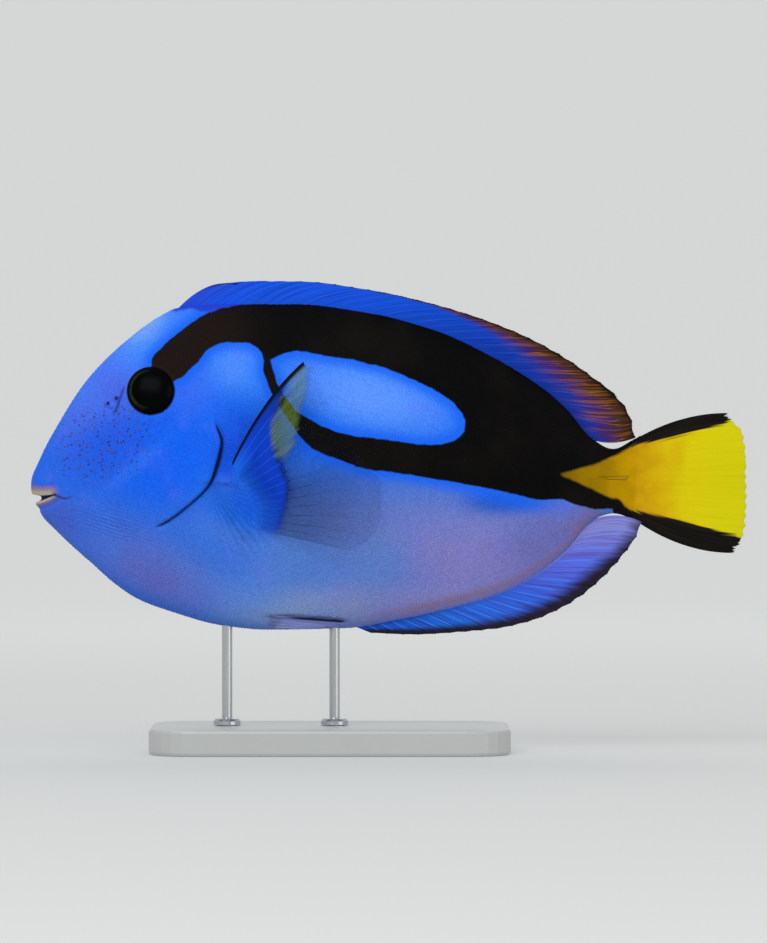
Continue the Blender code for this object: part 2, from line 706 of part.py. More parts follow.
def main():
    clear_scene()
    scene = bpy.context.scene
    tang = bpy.data.collections.new("regal_blue_tang")
    cutters = bpy.data.collections.new("cutters")
    scene.collection.children.link(tang)
    scene.collection.children.link(cutters)

    blue_skin = finish("blue_skin", (0.02, 0.14, 0.90), 0.5)
    black_skin = finish("black_skin", (0.008, 0.008, 0.010), 0.55)
    violet_skin = finish("violet_skin", (0.16, 0.24, 0.72), 0.5)
    blue_fin = finish("blue_fin", (0.01, 0.10, 0.75), 0.45)
    yellow_fin = finish("yellow_fin", (0.72, 0.58, 0.01), 0.45)
    clear_fin = finish("clear_fin", (0.10, 0.20, 0.70), 0.4)
    eye_black = finish("eye_black", (0.003, 0.003, 0.003), 0.1)
    bone = finish("bone", (0.62, 0.50, 0.20), 0.4)
    grey_paint = finish("grey_paint", (0.62, 0.63, 0.62), 0.5)
    steel = finish("steel", (0.6, 0.6, 0.6), 0.3, 1.0)

    sockets, rims = eyes_and_orbits(tang, cutters, eye_black)
    head(tang, cutters, sockets, rims, blue_skin)

    rod_x = {name: world(share, 0, 0).x for name, share in ROD_PLACES.items()}
    tops = {name: world(0, 0, profile(BELLY, share)).z + ROD_REACH for name, share in ROD_PLACES.items()}
    wide = ROD_RADIUS + GAP
    belly_holes = [
        cylinder("belly_hole_" + name, wide, BASE_THICKNESS, tops[name] + GAP, x, 0, cutters)
        for name, x in rod_x.items()
    ]
    base_holes = [
        cylinder("base_hole_" + name, wide, BASE_THICKNESS - ROD_SINK, 2 * BASE_THICKNESS, x, 0, cutters)
        for name, x in rod_x.items()
    ]
    trunk(tang, cutters, belly_holes, violet_skin)
    grooves = [
        tail_spine(word, side, tang, cutters, bone) for side, word in ((-1, "left"), (1, "right"))
    ]
    tail_stalk(tang, grooves, black_skin)

    clearance = body_loft("clearance", trunk_places() + stalk_places()[1:], cutters, grow=GAP)
    for name, knots, up, root, margin, rays, bows in (
        ("dorsal_fin", BACK, 1, DORSAL_ROOT, DORSAL_MARGIN, DORSAL_RAYS, (0.95, 1.1)),
        ("anal_fin", BELLY, -1, ANAL_ROOT, ANAL_MARGIN, ANAL_RAYS, (0.0, 1.1)),
    ):
        median_fin(name, knots, up, root, margin, rays, bows, clearance, tang, blue_fin)
    caudal_fin(tang, yellow_fin)
    for side, word in ((-1, "left"), (1, "right")):
        pectoral_fin("pectoral_fin_" + word, side, clearance, tang, clear_fin)
        pelvic_fin("pelvic_fin_" + word, side, clearance, tang, violet_skin)

    stand_base(tang, base_holes, grey_paint)
    for name, x in rod_x.items():
        stand_rod(name, x, tops[name], tang, steel)
    hide(cutters.objects)
    for made in tang.objects:
        made.data.shade_smooth()
        made.data.set_sharp_from_angle(angle=math.radians(40))


main()
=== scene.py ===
import math

import bmesh
import bpy
import numpy as np
from mathutils import Euler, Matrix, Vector


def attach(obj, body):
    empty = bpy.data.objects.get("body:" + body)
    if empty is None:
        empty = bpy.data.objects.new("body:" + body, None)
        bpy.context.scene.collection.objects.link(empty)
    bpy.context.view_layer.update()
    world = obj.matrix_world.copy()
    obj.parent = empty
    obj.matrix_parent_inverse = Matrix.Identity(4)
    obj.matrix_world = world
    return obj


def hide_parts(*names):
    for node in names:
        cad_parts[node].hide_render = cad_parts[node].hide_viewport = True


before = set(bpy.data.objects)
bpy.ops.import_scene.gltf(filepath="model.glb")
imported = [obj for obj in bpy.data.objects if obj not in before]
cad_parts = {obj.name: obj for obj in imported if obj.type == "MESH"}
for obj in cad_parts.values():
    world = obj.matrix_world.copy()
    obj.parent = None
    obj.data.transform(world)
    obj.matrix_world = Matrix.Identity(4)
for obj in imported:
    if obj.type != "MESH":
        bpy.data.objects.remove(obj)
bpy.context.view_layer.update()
print("frame loaded:", len(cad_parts), "nodes")

# Side-view places are in hundredths of the total length: x back from the snout, z up from the mouth line.
body = {
    "length": 0.220,
    "mouthHeight": 0.08066,
    "back": (
        (0, 0.6), (0.7, 3.2), (3.2, 8.2), (8.2, 15.8), (13.3, 20.8), (18.3, 24.4), (20.6, 25.4),
        (28, 25.9), (37, 25.9), (47.6, 24.6), (56.6, 22.2), (64.4, 18.6), (71.5, 14.2), (75.1, 11.0),
        (78.2, 7.3), (81.3, 5.7), (85, 7.7),
    ),
    "belly": (
        (0, 0.4), (0.6, -1.7), (1.5, -3.8), (3.2, -5.6), (8.2, -10.2), (11.6, -13.2), (14.9, -15.4),
        (20, -17.3), (26.7, -19.1), (33, -19.7), (43.9, -19.5), (51.5, -18.3), (59.5, -16.5),
        (65.4, -14.7), (71.4, -11.5), (75.3, -8.2), (77.9, -5.0), (79.6, -3.9), (81.3, -3.5), (85, -4.7),
    ),
    "halfWidth": (
        (0, 0), (0.4, 1.2), (1.3, 1.9), (2.7, 2.5), (4.9, 3.3), (8.2, 4.3), (12.4, 5.4), (16.6, 6.2),
        (21.5, 6.9), (26.4, 7.3), (32, 7.4), (39, 7.3), (46, 6.9), (53, 6.1), (60, 5.0), (67, 3.8),
        (72.5, 2.8), (76.7, 2.2), (81.3, 1.6), (83.7, 0.9), (85, 0.5),
    ),
    "widestAt": ((0, 0.50), (10, 0.45), (25, 0.42), (45, 0.43), (70, 0.48), (85, 0.50)),  # share of the depth
    "backKeel": ((0, 0.95), (15, 1.05), (30, 1.2), (60, 1.25), (80, 1.05), (85, 0.9)),
    "bellyKeel": ((0, 0.95), (20, 0.95), (40, 1.0), (60, 1.15), (80, 1.05), (85, 0.9)),
    "end": 85,
}
share = body["length"] / 100
mm = share * 1000  # millimetres in one hundredth


def curveAt(knots, t):
    # a smooth curve through the knots that never overshoots them
    kx, ky = np.array(knots, float).T
    slopes = np.diff(ky) / np.diff(kx)
    both = slopes[:-1] * slopes[1:]
    total = np.where(both > 0, slopes[:-1] + slopes[1:], 1)
    lean = np.concatenate([slopes[:1], np.where(both > 0, 2 * both / total, 0), slopes[-1:]])
    t = np.clip(np.asarray(t, float), kx[0], kx[-1])
    i = np.clip(np.searchsorted(kx, t) - 1, 0, len(slopes) - 1)
    width = kx[i + 1] - kx[i]
    s = (t - kx[i]) / width
    bend = width * s * (1 - s) * ((1 - s) * lean[i] - s * lean[i + 1])
    return (1 + 2 * s) * (1 - s) ** 2 * ky[i] + s * s * (3 - 2 * s) * ky[i + 1] + bend


rootOfX = np.linspace(0, math.sqrt(body["end"]), 3001)
bodyTables = {
    key: curveAt([(math.sqrt(x), value) for x, value in body[key]], rootOfX)
    for key in ("back", "belly", "halfWidth")
}
bodyTables.update({key: curveAt(body[key], rootOfX**2) for key in ("widestAt", "backKeel", "bellyKeel")})


def bodyAt(key, x):
    return np.interp(np.sqrt(np.clip(x, 0, None)), rootOfX, bodyTables[key])


def onBody(x, turn):
    # a place on the body; turn goes from the right side (0) over the back (a quarter) to the left side
    top, bottom = bodyAt("back", x), bodyAt("belly", x)
    middle = bottom + bodyAt("widestAt", x) * (top - bottom)
    rise, out = np.sin(turn), np.cos(turn)
    z = middle + rise * np.where(rise > 0, top - middle, middle - bottom)
    keel = np.where(rise > 0, bodyAt("backKeel", x), bodyAt("bellyKeel", x))
    y = np.sign(out) * np.abs(out) ** keel * bodyAt("halfWidth", x)
    return np.stack([x + 0 * turn, y, z], -1)


def unit(vectors):
    return vectors / np.maximum(np.linalg.norm(vectors, axis=-1, keepdims=True), 1e-12)


def outOfBody(x, turn):
    # the way out of the body, and the way back along it
    alongX = onBody(np.minimum(x + 0.15, body["end"]), turn) - onBody(np.maximum(x - 0.15, 0), turn)
    around = onBody(x, turn + 0.012) - onBody(x, turn - 0.012)
    return unit(np.cross(around, alongX)), unit(alongX)


def flankTurn(x, z, side):
    # the turn at which the side view shows a place of the body; side is -1 left, 1 right
    top, bottom = bodyAt("back", x), bodyAt("belly", x)
    middle = bottom + bodyAt("widestAt", x) * (top - bottom)
    rise = np.arcsin(np.clip((z - middle) / np.where(z >= middle, top - middle, middle - bottom), -1, 1))
    return np.where(side > 0, rise, math.pi - rise)


def flank(x, z, side, lift=0.0):
    # a place on one side of the body, or lift millimetres outside it, straight out sideways
    place = onBody(x, flankTurn(x, z, side))
    place[..., 1] += side * lift / mm
    return place


def metres(places):
    shift = np.array([-body["length"] / 2, 0, body["mouthHeight"]])
    return np.asarray(places, float) * share + shift


def sideView(mesh):
    co = np.empty(len(mesh.vertices) * 3)
    mesh.vertices.foreach_get("co", co)
    co = co.reshape(-1, 3)
    return (co[:, 0] + body["length"] / 2) / share, (co[:, 2] - body["mouthHeight"]) / share


def ease(low, high, t):
    s = np.clip((t - low) / (high - low), 0, 1)
    return s * s * (3 - 2 * s)


def bump(t):
    return np.exp(-t * t)


def rounded(points, steps=4, closed=False):
    # more points, on a smooth curve through the given ones
    p = np.array(points, float)
    if closed:
        before, start, after, later = np.roll(p, 1, 0), p, np.roll(p, -1, 0), np.roll(p, -2, 0)
    else:
        ends = np.vstack([2 * p[0] - p[1], p, 2 * p[-1] - p[-2]])
        before, start, after, later = ends[:-3], ends[1:-2], ends[2:-1], ends[3:]
    rows = []
    for t in np.arange(steps) / steps:
        square = (2 * before - 5 * start + 4 * after - later) * t * t
        cube = (3 * start - before - 3 * after + later) * t**3
        rows.append((2 * start + (after - before) * t + square + cube) / 2)
    line = np.stack(rows, 1).reshape(-1, 2)
    return line if closed else np.vstack([line, p[-1:]])


def nearLine(points, x, z):
    # millimetres from a line, the share along it, and 1 on its left or -1 on its right
    line = rounded(points, 4)
    best, along, side = np.full(np.shape(x), 1e9), np.zeros(np.shape(x)), np.ones(np.shape(x))
    total = np.linalg.norm(np.diff(line, axis=0), axis=1).sum()
    gone = 0.0
    for (ax, az), (bx, bz) in zip(line[:-1], line[1:]):
        dx, dz = bx - ax, bz - az
        long = math.hypot(dx, dz)
        t = np.clip(((x - ax) * dx + (z - az) * dz) / long**2, 0, 1)
        off = np.hypot(x - ax - t * dx, z - az - t * dz)
        closer = off < best
        best = np.where(closer, off, best)
        along = np.where(closer, (gone + t * long) / total, along)
        side = np.where(closer, np.sign(dx * (z - az) - dz * (x - ax)), side)
        gone += long
    return best * mm, along, side


# Shapes of the colour pattern, each kept as a field of signed millimetres to its edge (negative inside)
fieldStep = 0.15
fieldX, fieldZ = np.meshgrid(np.arange(-2, 104, fieldStep), np.arange(-25, 34, fieldStep), indexing="ij")
markings = {
    "bandTop": (
        (17.0, 17.1), (17.2, 18.4), (18.6, 19.9), (20.5, 21.6), (22.2, 22.9), (23.7, 24.0), (25.1, 24.7),
        (26.7, 25.2), (28.7, 25.6), (31.1, 25.9), (33.9, 26.0), (40, 26.3), (48, 25.4), (57, 23.0),
        (65, 19.2), (71.8, 14.6), (76.1, 10.8), (79, 9.0), (84, 11), (92, 14), (100, 15),
    ),
    "bandLower": (
        (100, -14), (92, -12), (84, -8), (81.4, -3.4), (81.1, -2.8), (78.9, -2.8), (76.3, -2.3),
        (73.9, -1.4), (70.4, -1.4), (64.8, -0.1), (55.7, 1.5), (51.5, 2.2), (48.1, 2.6), (46.2, 2.9),
        (44.0, 3.7), (41.8, 4.5), (40.1, 5.2), (38.8, 6.1), (37.6, 7.4), (36.2, 9.4),
    ),
    "lobe": (
        (34.9, 11.3), (33.6, 13.4), (33.0, 15.1), (32.5, 16.6), (32.6, 18.2), (32.1, 19.2), (31.3, 19.9),
        (30.2, 20.3), (28.5, 20.4), (26.6, 20.3), (25.5, 19.8), (24.6, 19.2), (24.1, 18.4), (23.3, 17.5),
        (22.3, 16.6), (21.6, 15.7), (20.5, 15.2), (19.9, 14.7), (18.7, 13.8), (16.9, 14.7),
    ),
    "oval": (
        (33.5, 17.9), (34.3, 18.3), (35.6, 18.9), (37.6, 19.2), (39.9, 18.8), (41.8, 18.4), (44.4, 18.1),
        (46.6, 17.5), (49.0, 17.0), (51.5, 16.0), (53.6, 15.1), (56.2, 13.8), (58.4, 12.5), (59.4, 11.5),
        (60.3, 10.2), (60.6, 9.1), (60.3, 7.8), (59.0, 6.7), (56.8, 6.2), (54.3, 6.2), (51.5, 6.6),
        (47.8, 7.1), (45.5, 7.3), (43.3, 7.8), (41.0, 8.6), (39.3, 9.5), (37.4, 10.6), (36.2, 12.0),
        (34.7, 14.3), (34.3, 15.3), (33.9, 16.6),
    ),
    "yellow": (
        (73.9, 2.1), (77.6, 3.1), (80.0, 4.0), (82.2, 5.0), (84.6, 6.2), (86.4, 6.6), (88.6, 6.9),
        (91.4, 7.6), (94.2, 8.4), (96.9, 9.1), (103, 10.2), (103, -7.4), (98.4, -6.4), (96.0, -5.9),
        (93.1, -5.0), (90.5, -4.3), (87.9, -3.9), (85.7, -3.3), (83.5, -2.8), (82.2, -1.5), (80.7, -1.1),
        (78.5, -0.1), (75.7, 1.2),
    ),
    "sheath": ((19.4, 25.1), (22.3, 25.2), (24.8, 24.7), (30, 25.6), (36, 25.8), (36, 31), (19, 31)),
    "finPatch": (
        (38.9, 17.8), (38.5, 13.3), (37.8, 11.2), (37.4, 8.9), (36.9, 6.3), (35.8, 4.3), (34.6, 4.6),
        (34.1, 6.7), (34.0, 8.8), (34.9, 11.2), (35.9, 13.8), (36.9, 16.4),
    ),
    "finFoot": (
        (25, 2), (29, 8.5), (33, 13.5), (36.3, 17.5), (35.2, 13.4), (34.4, 9.0), (34.4, 5.5), (35.3, 3.0),
        (36.0, 0.5), (35.8, -1.5), (35.2, -3.8), (33, -8), (26, -7),
    ),
}


def shapeField(points):
    line = rounded(points, 3, True)
    nearest = np.full(fieldX.shape, 1e9)
    inside = np.zeros(fieldX.shape, bool)
    for (ax, az), (bx, bz) in zip(line, np.roll(line, -1, 0)):
        dx, dz = bx - ax, bz - az
        t = np.clip(((fieldX - ax) * dx + (fieldZ - az) * dz) / (dx * dx + dz * dz + 1e-12), 0, 1)
        nearest = np.minimum(nearest, (fieldX - ax - t * dx) ** 2 + (fieldZ - az - t * dz) ** 2)
        if abs(dz) > 1e-9:
            inside ^= ((az > fieldZ) != (bz > fieldZ)) & (fieldX < ax + (fieldZ - az) * dx / dz)
    return np.where(inside, -1, 1) * np.sqrt(nearest) * mm


def readField(field, x, z):
    i = np.clip((x + 2) / fieldStep, 0, field.shape[0] - 1.001)
    j = np.clip((z + 25) / fieldStep, 0, field.shape[1] - 1.001)
    a, b = i.astype(int), j.astype(int)
    s, t = i - a, j - b
    low = field[a, b] * (1 - s) + field[a + 1, b] * s
    return low * (1 - t) + (field[a, b + 1] * (1 - s) + field[a + 1, b + 1] * s) * t


bandOutline = markings["bandTop"] + markings["bandLower"] + markings["lobe"]
fields = {
    "band": np.maximum(shapeField(bandOutline), -shapeField(markings["oval"])),
    "yellow": shapeField(markings["yellow"]),
}
fields.update({key: shapeField(markings[key]) for key in ("sheath", "finPatch", "finFoot")})
print("pattern shapes made")


def toLinear(values):
    values = np.asarray(values, float)
    return np.where(values <= 0.04045, values / 12.92, ((values + 0.055) / 1.055) ** 2.4)


def srgb(code):
    return np.array([int(code[i : i + 2], 16) for i in (1, 3, 5)]) / 255


def linear(code):
    return (*toLinear(srgb(code)), 1.0)


# Broad washes of colour, laid one over another: place, reach, lean in degrees, colour, strength. The light
# strokes on the forehead, on the top of the nape and a thin one along the cheek are painted highlight over
# the blue
washes = {
    "base": "#1562E6",
    "strokes": (
        ((50, -6), (60, 9), 0, "#6077C4", 1.0),  # flank below the band
        ((62, -10), (13, 7), 0, "#857CBE", 0.9),  # lavender rear flank
        ((72, -6.5), (7, 4), 20, "#6A68AE", 0.8),
        ((77.5, -4.5), (3, 2.2), 30, "#7C6286", 0.8),
        ((54, -16), (16, 3.4), 5, "#8B86C4", 0.9),
        ((42, -16), (9, 4.5), 0, "#8189C0", 1.0),
        ((48, -10), (5, 4), 0, "#5A82CA", 0.7),
        ((36, -10), (7, 5), 0, "#4E7CCB", 0.9),
        ((34, -17), (9, 3.0), 0, "#8499C8", 1.0),
        ((29, -14), (7, 4.5), 0, "#5F88D8", 0.9),
        ((25, -8.5), (8, 4), -20, "#386DD2", 0.9),
        ((21, -13.5), (6, 4), -25, "#5D71C6", 0.9),
        ((14, -9), (7, 4.2), -38, "#586CC6", 1.0),
        ((17, -12), (4, 2.5), -30, "#5F65B9", 0.7),
        ((5, -4.6), (5, 2.4), -42, "#4A5FC2", 1.0),
        ((12, 6), (11, 11), 40, "#1A5CE2", 0.7),  # snout and cheek
        ((4, 5), (3.5, 5), 60, "#2A63E0", 0.8),
        # the forehead stroke below: lighter blue, partly painted highlight
        ((10.5, 16), (9, 4.6), 48, "#4C7EF4", 0.9),  # forehead
        # the strokes at (17, 22), (21, 24.5) and (16.2, 22.8) are painted highlight along the top of the nape
        ((17, 22), (6, 3.2), 35, "#4A8AF6", 0.9),
        ((12.2, 13), (3.4, 4.5), 30, "#4B63DB", 0.8),
        ((21, 24.5), (4, 2.2), 20, "#3A78F4", 0.8),
        ((16.2, 22.8), (3.6, 1.5), 38, "#7AA6F2", 0.8),
        ((22.5, 12.5), (3.2, 4.2), -30, "#3E6AEC", 0.8),
        ((28.5, 17), (4.2, 4), 0, "#4A86F6", 0.95),  # lobe above the gills
        ((7.0, 10.0), (3.6, 2.6), 50, "#4E6CE0", 0.7),
        ((32, 15.5), (2.2, 3), 10, "#2E7CFA", 0.7),
        ((20, 3.5), (8, 7.5), 40, "#0A5EEC", 0.9),
        ((29.5, 7), (3.2, 4.5), -15, "#0A4CD6", 0.9),
        ((28, 3.5), (1.8, 4), -15, "#0440CC", 0.6),
        ((28.5, -2.6), (4.6, 2.6), -25, "#1460D4", 0.9),
        ((31.0, -2.0), (3.0, 4.4), 25, "#0A52D4", 0.85),
        # a thin light streak along the cheek: painted highlight
        ((15.0, 3.4), (5.5, 1.0), 40, "#2A78F4", 0.45),
        ((47, 13), (13, 5), -14, "#5890F8", 1.0),  # oval
        ((65.5, -1.7), (5, 1.7), 0, "#1A50BE", 0.8),  # deep rim under the rear of the band
    ),
}


def washColours(x, z):
    tone = np.broadcast_to(srgb(washes["base"]), (*np.shape(x), 3)).copy()
    for (cx, cz), (rx, rz), lean, code, strength in washes["strokes"]:
        c, s = math.cos(math.radians(lean)), math.sin(math.radians(lean))
        dx, dz = x - cx, z - cz
        far = ((dx * c + dz * s) / rx) ** 2 + ((dz * c - dx * s) / rz) ** 2
        weight = (strength * np.exp(-(far**1.3)))[..., None]
        tone = tone * (1 - weight) + srgb(code) * weight
    return tone


head = {
    "eye": (16.95, 13.6),
    "eyeSight": 7.0,  # millimetres of dark disc that show, by radius
    "eyeRadii": (8.2, 4.15, 8.2),
    "eyeSink": 2.3,
    "eyeTurn": (11, 10),  # degrees up and ahead
    "gill": (
        (25.8, 10.1), (26.1, 8.7), (26.7, 7.1), (26.7, 5.8), (26.1, 3.4), (25.3, 1.0), (24.0, -0.7),
        (22.2, -2.3), (20.3, -3.8), (18.7, -4.8), (16.8, -5.6),
    ),
    "coverLift": 0.6,
    "coverCentre": (22, 2.5),
    "coverReach": (7.5, 10),
    "groove": ((13.3, 14.6), (12.7, 12.8), (12.0, 11.0), (11.2, 9.7)),
    "nostrils": (((12.1, 12.6), 0.75), ((10.9, 11.9), 0.62)),
    "gapeTop": ((-1, -0.55), (0.2, -0.7), (1.4, -0.9), (2.4, -0.85), (3.5, -0.75)),
    "gapeBottom": ((-1, -2.5), (0.5, -1.95), (1.4, -1.7), (2.3, -1.35), (3.5, -0.85)),
    "gapeThrough": (
        (-2.1, -5), (-1.95, 0.5), (-1.7, 1.3), (-1.3, 1.55), (-0.95, 1.4), (-0.7, 0.1), (-0.5, -5),
    ),
    "mouthLine": ((3.4, -0.8), (4.1, -1.15), (4.7, -1.35), (5.5, -1.3), (6.3, -1.0)),
    "finBase": ((26.8, 1.4), (27.5, -0.8), (28.6, -3.0), (30.2, -5.6)),
    "pelvicSlit": ((31.6, -17.6), (34.6, -17.75), (36.6, -17.8), (40.2, -18.1), (43.9, -18.45)),
    "spine": ((79.6, 1.5), (83.4, 1.5)),
}


def eyeDistance(x, z):
    return np.hypot(x - head["eye"][0], z - head["eye"][1]) * mm


def relief(x, z):
    # millimetres by which the skin stands out from, or sinks into, the plain body
    gillOff, gillAlong, gillSide = nearLine(head["gill"], x, z)
    shown = ease(0, 0.10, gillAlong) * (1 - ease(0.86, 1.0, gillAlong))
    ahead = gillSide < 0
    coverX = (x - head["coverCentre"][0]) / head["coverReach"][0]
    coverZ = (z - head["coverCentre"][1]) / head["coverReach"][1]
    cover = head["coverLift"] * np.exp(-coverX**2 - coverZ**2) * (1 - ease(26, 27.5, x))
    lipped = 0.35 * bump(gillOff / 3.5) - 1.1 * bump(gillOff / 0.42)
    edge = np.where(ahead, lipped, -1.05 * bump(gillOff / 1.15))
    height = cover * np.where(ahead, 1, 1 - ease(0, 0.4, gillOff) * shown) + edge * shown

    r = eyeDistance(x, z)
    height += 0.42 * bump((r - 7.45) / 0.5) + 0.25 * bump((r - 9.2) / 1.6)
    height = np.where(r < 7.2, height - 3.6 * ease(7.2, 6.2, r), height)

    off, along, side = nearLine(head["groove"], x, z)
    height -= 0.5 * bump(off / 0.38) * ease(0, 0.15, along) * (1 - ease(0.75, 1, along))
    for (nx, nz), radius in head["nostrils"]:
        r = np.hypot((x - nx) * mm, (z - nz) * mm)
        height += 0.3 * bump((r - radius * 1.25) / 0.26) - bump(r / (radius * 0.72))

    topOff, topAlong, topSide = nearLine(head["gapeTop"], x, z)
    lowOff, lowAlong, lowSide = nearLine(head["gapeBottom"], x, z)
    fade = 1 - ease(3.4, 5.2, x)
    height += fade * np.where(topSide > 0, 0.5 * bump((topOff - 0.75) / 0.75), 0)
    height -= fade * np.where(topSide > 0, 0.22 * bump((topOff - 2.9) / 0.7), 0)
    height += fade * np.where(lowSide < 0, 0.45 * bump((lowOff - 0.6) / 0.6), 0)
    height -= fade * np.where(lowSide < 0, 0.2 * bump((lowOff - 2.3) / 0.6), 0)
    inGape = (topSide < 0) & (lowSide > 0) & (x < 3.6)
    height -= np.where(inGape, 1.5 * ease(0, 0.35, np.minimum(topOff, lowOff)), 0)
    off, along, side = nearLine(head["mouthLine"], x, z)
    height -= 0.45 * bump(off / 0.32) * (1 - ease(0.6, 1, along))

    off, along, side = nearLine(head["finBase"], x, z)
    height += 0.9 * bump(off / 2.6) * ease(0, 0.12, along + 0.05)
    off, along, side = nearLine(head["pelvicSlit"], x, z)
    height -= 0.45 * bump(off / 0.4) * ease(0, 0.3, along) * (x > 31)
    off, along, side = nearLine(head["spine"], x, z)
    height -= 0.45 * bump(off / 0.75) ** 2
    return height - 0.6 * ease(83.0, 85, x)


skin = {
    "inset": 0.2,  # millimetres below the solid, room for the scales
    "headStep": 0.63,  # millimetres between rings
    "bodyStep": 1.15,
    "around": 172,
}


def aroundTable():
    # turns that are evenly spaced along a tall oval, from the belly round to the belly
    turn = np.linspace(-math.pi / 2, 1.5 * math.pi, 2001)
    pace = np.hypot(np.cos(turn), 0.34 * np.sin(turn))
    gone = np.concatenate([[0], np.cumsum((pace[1:] + pace[:-1]) / 2)])
    return gone / gone[-1], turn


aroundShare, aroundTurn = aroundTable()


def ringPlaces():
    xs = np.linspace(0, math.sqrt(body["end"]), 6001) ** 2
    z = bodyAt("back", xs)
    gone = np.hypot(np.diff(xs), np.diff(z)) * mm
    middle = (xs[1:] + xs[:-1]) / 2
    step = skin["headStep"] + (skin["bodyStep"] - skin["headStep"]) * ease(27, 36, middle)
    step = step - 0.3 * ease(74, 80, middle)
    count = np.concatenate([[0], np.cumsum(gone / step)])
    rings = int(round(count[-1]))
    return np.interp(np.linspace(0, count[-1], rings + 1), count, xs)


def detailWanted(x, z):
    # how many times the faces at a place are halved
    want = np.zeros(np.shape(x), int)
    r = eyeDistance(x, z)
    want = np.where((r > 5.6) & (r < 8.4), 1, want)
    off, along, side = nearLine(head["gill"], x, z)
    want = np.where((off < 1.7) & (along > 0.001) & (along < 0.999), 1, want)
    off, along, side = nearLine(head["groove"], x, z)
    want = np.where(off < 0.9, np.maximum(want, 1), want)
    for (nx, nz), radius in head["nostrils"]:
        want = np.where(np.hypot(x - nx, z - nz) * mm < radius + 0.9, 2, want)
    want = np.where((x < 6.8) & (z > -4) & (z < 1.6), 1, want)
    want = np.where((x < 4.2) & (z > -3) & (z < 0.6), 2, want)
    off, along, side = nearLine(head["spine"], x, z)
    return np.where(off < 1.6, np.maximum(want, 1), want)


def makeSkin():
    rings = ringPlaces()
    columns = skin["around"]
    bm = bmesh.new()
    bmesh.ops.create_grid(bm, x_segments=len(rings) - 1, y_segments=columns, size=0.5)
    for vert in bm.verts:
        vert.co = ((vert.co.x + 0.5) * (len(rings) - 1), vert.co.y + 0.5, 0)

    def unrolled(co):
        return np.interp(co[:, 0], np.arange(len(rings)), rings), np.interp(co[:, 1], aroundShare, aroundTurn)

    for level in (1, 2):
        centres = np.array([face.calc_center_median() for face in bm.faces])
        x, turn = unrolled(centres)
        place = onBody(x, turn)
        picked = detailWanted(place[:, 0], place[:, 2]) >= level
        edges = {edge for face, chosen in zip(bm.faces, picked) if chosen for edge in face.edges}
        bmesh.ops.subdivide_edges(bm, edges=list(edges), cuts=1, use_grid_fill=True)
        bm.faces.ensure_lookup_table()
    bake = bm.loops.layers.uv.new("OFBake")
    for face in bm.faces:
        for loop in face.loops:
            loop[bake].uv = (loop.vert.co.x / (len(rings) - 1), loop.vert.co.y)
    flat = np.array([vert.co for vert in bm.verts])
    x, turn = unrolled(flat)
    place = onBody(x, turn)
    out, back = outOfBody(x, turn)
    height = relief(place[:, 0], place[:, 2]) - skin["inset"]
    place = place + out * (height * ease(-0.2, 1.2, x))[:, None] / mm
    through = np.interp(place[:, 2], *np.array(head["gapeThrough"]).T)
    place[:, 0] = np.maximum(place[:, 0], np.where(x < 3, through, -9))
    for vert, co in zip(bm.verts, metres(place)):
        vert.co = co
    rim = [vert for vert, t in zip(bm.verts, flat[:, 1]) if t < 1e-6 or t > 1 - 1e-6]
    tip = [vert for vert, t in zip(bm.verts, flat[:, 0]) if t < 1e-6]
    bmesh.ops.remove_doubles(bm, verts=list(set(rim + tip)), dist=1e-6)
    end = [edge for edge in bm.edges if edge.is_boundary]
    bmesh.ops.holes_fill(bm, edges=end, sides=0)
    bmesh.ops.triangulate(bm, faces=[face for face in bm.faces if len(face.verts) > 4])
    return closedMesh(bm, "skin")


def store(mesh, name, values, kind="FLOAT"):
    made = mesh.attributes.new(name, kind, "POINT")
    if kind == "FLOAT":
        made.data.foreach_set("value", np.asarray(values, np.float32))
    elif kind == "FLOAT_COLOR":
        colour = np.ones((len(values), 4), np.float32)
        colour[:, :3] = values
        made.data.foreach_set("color", colour.ravel())
    else:
        made.data.foreach_set("vector", np.asarray(values, np.float32).ravel())


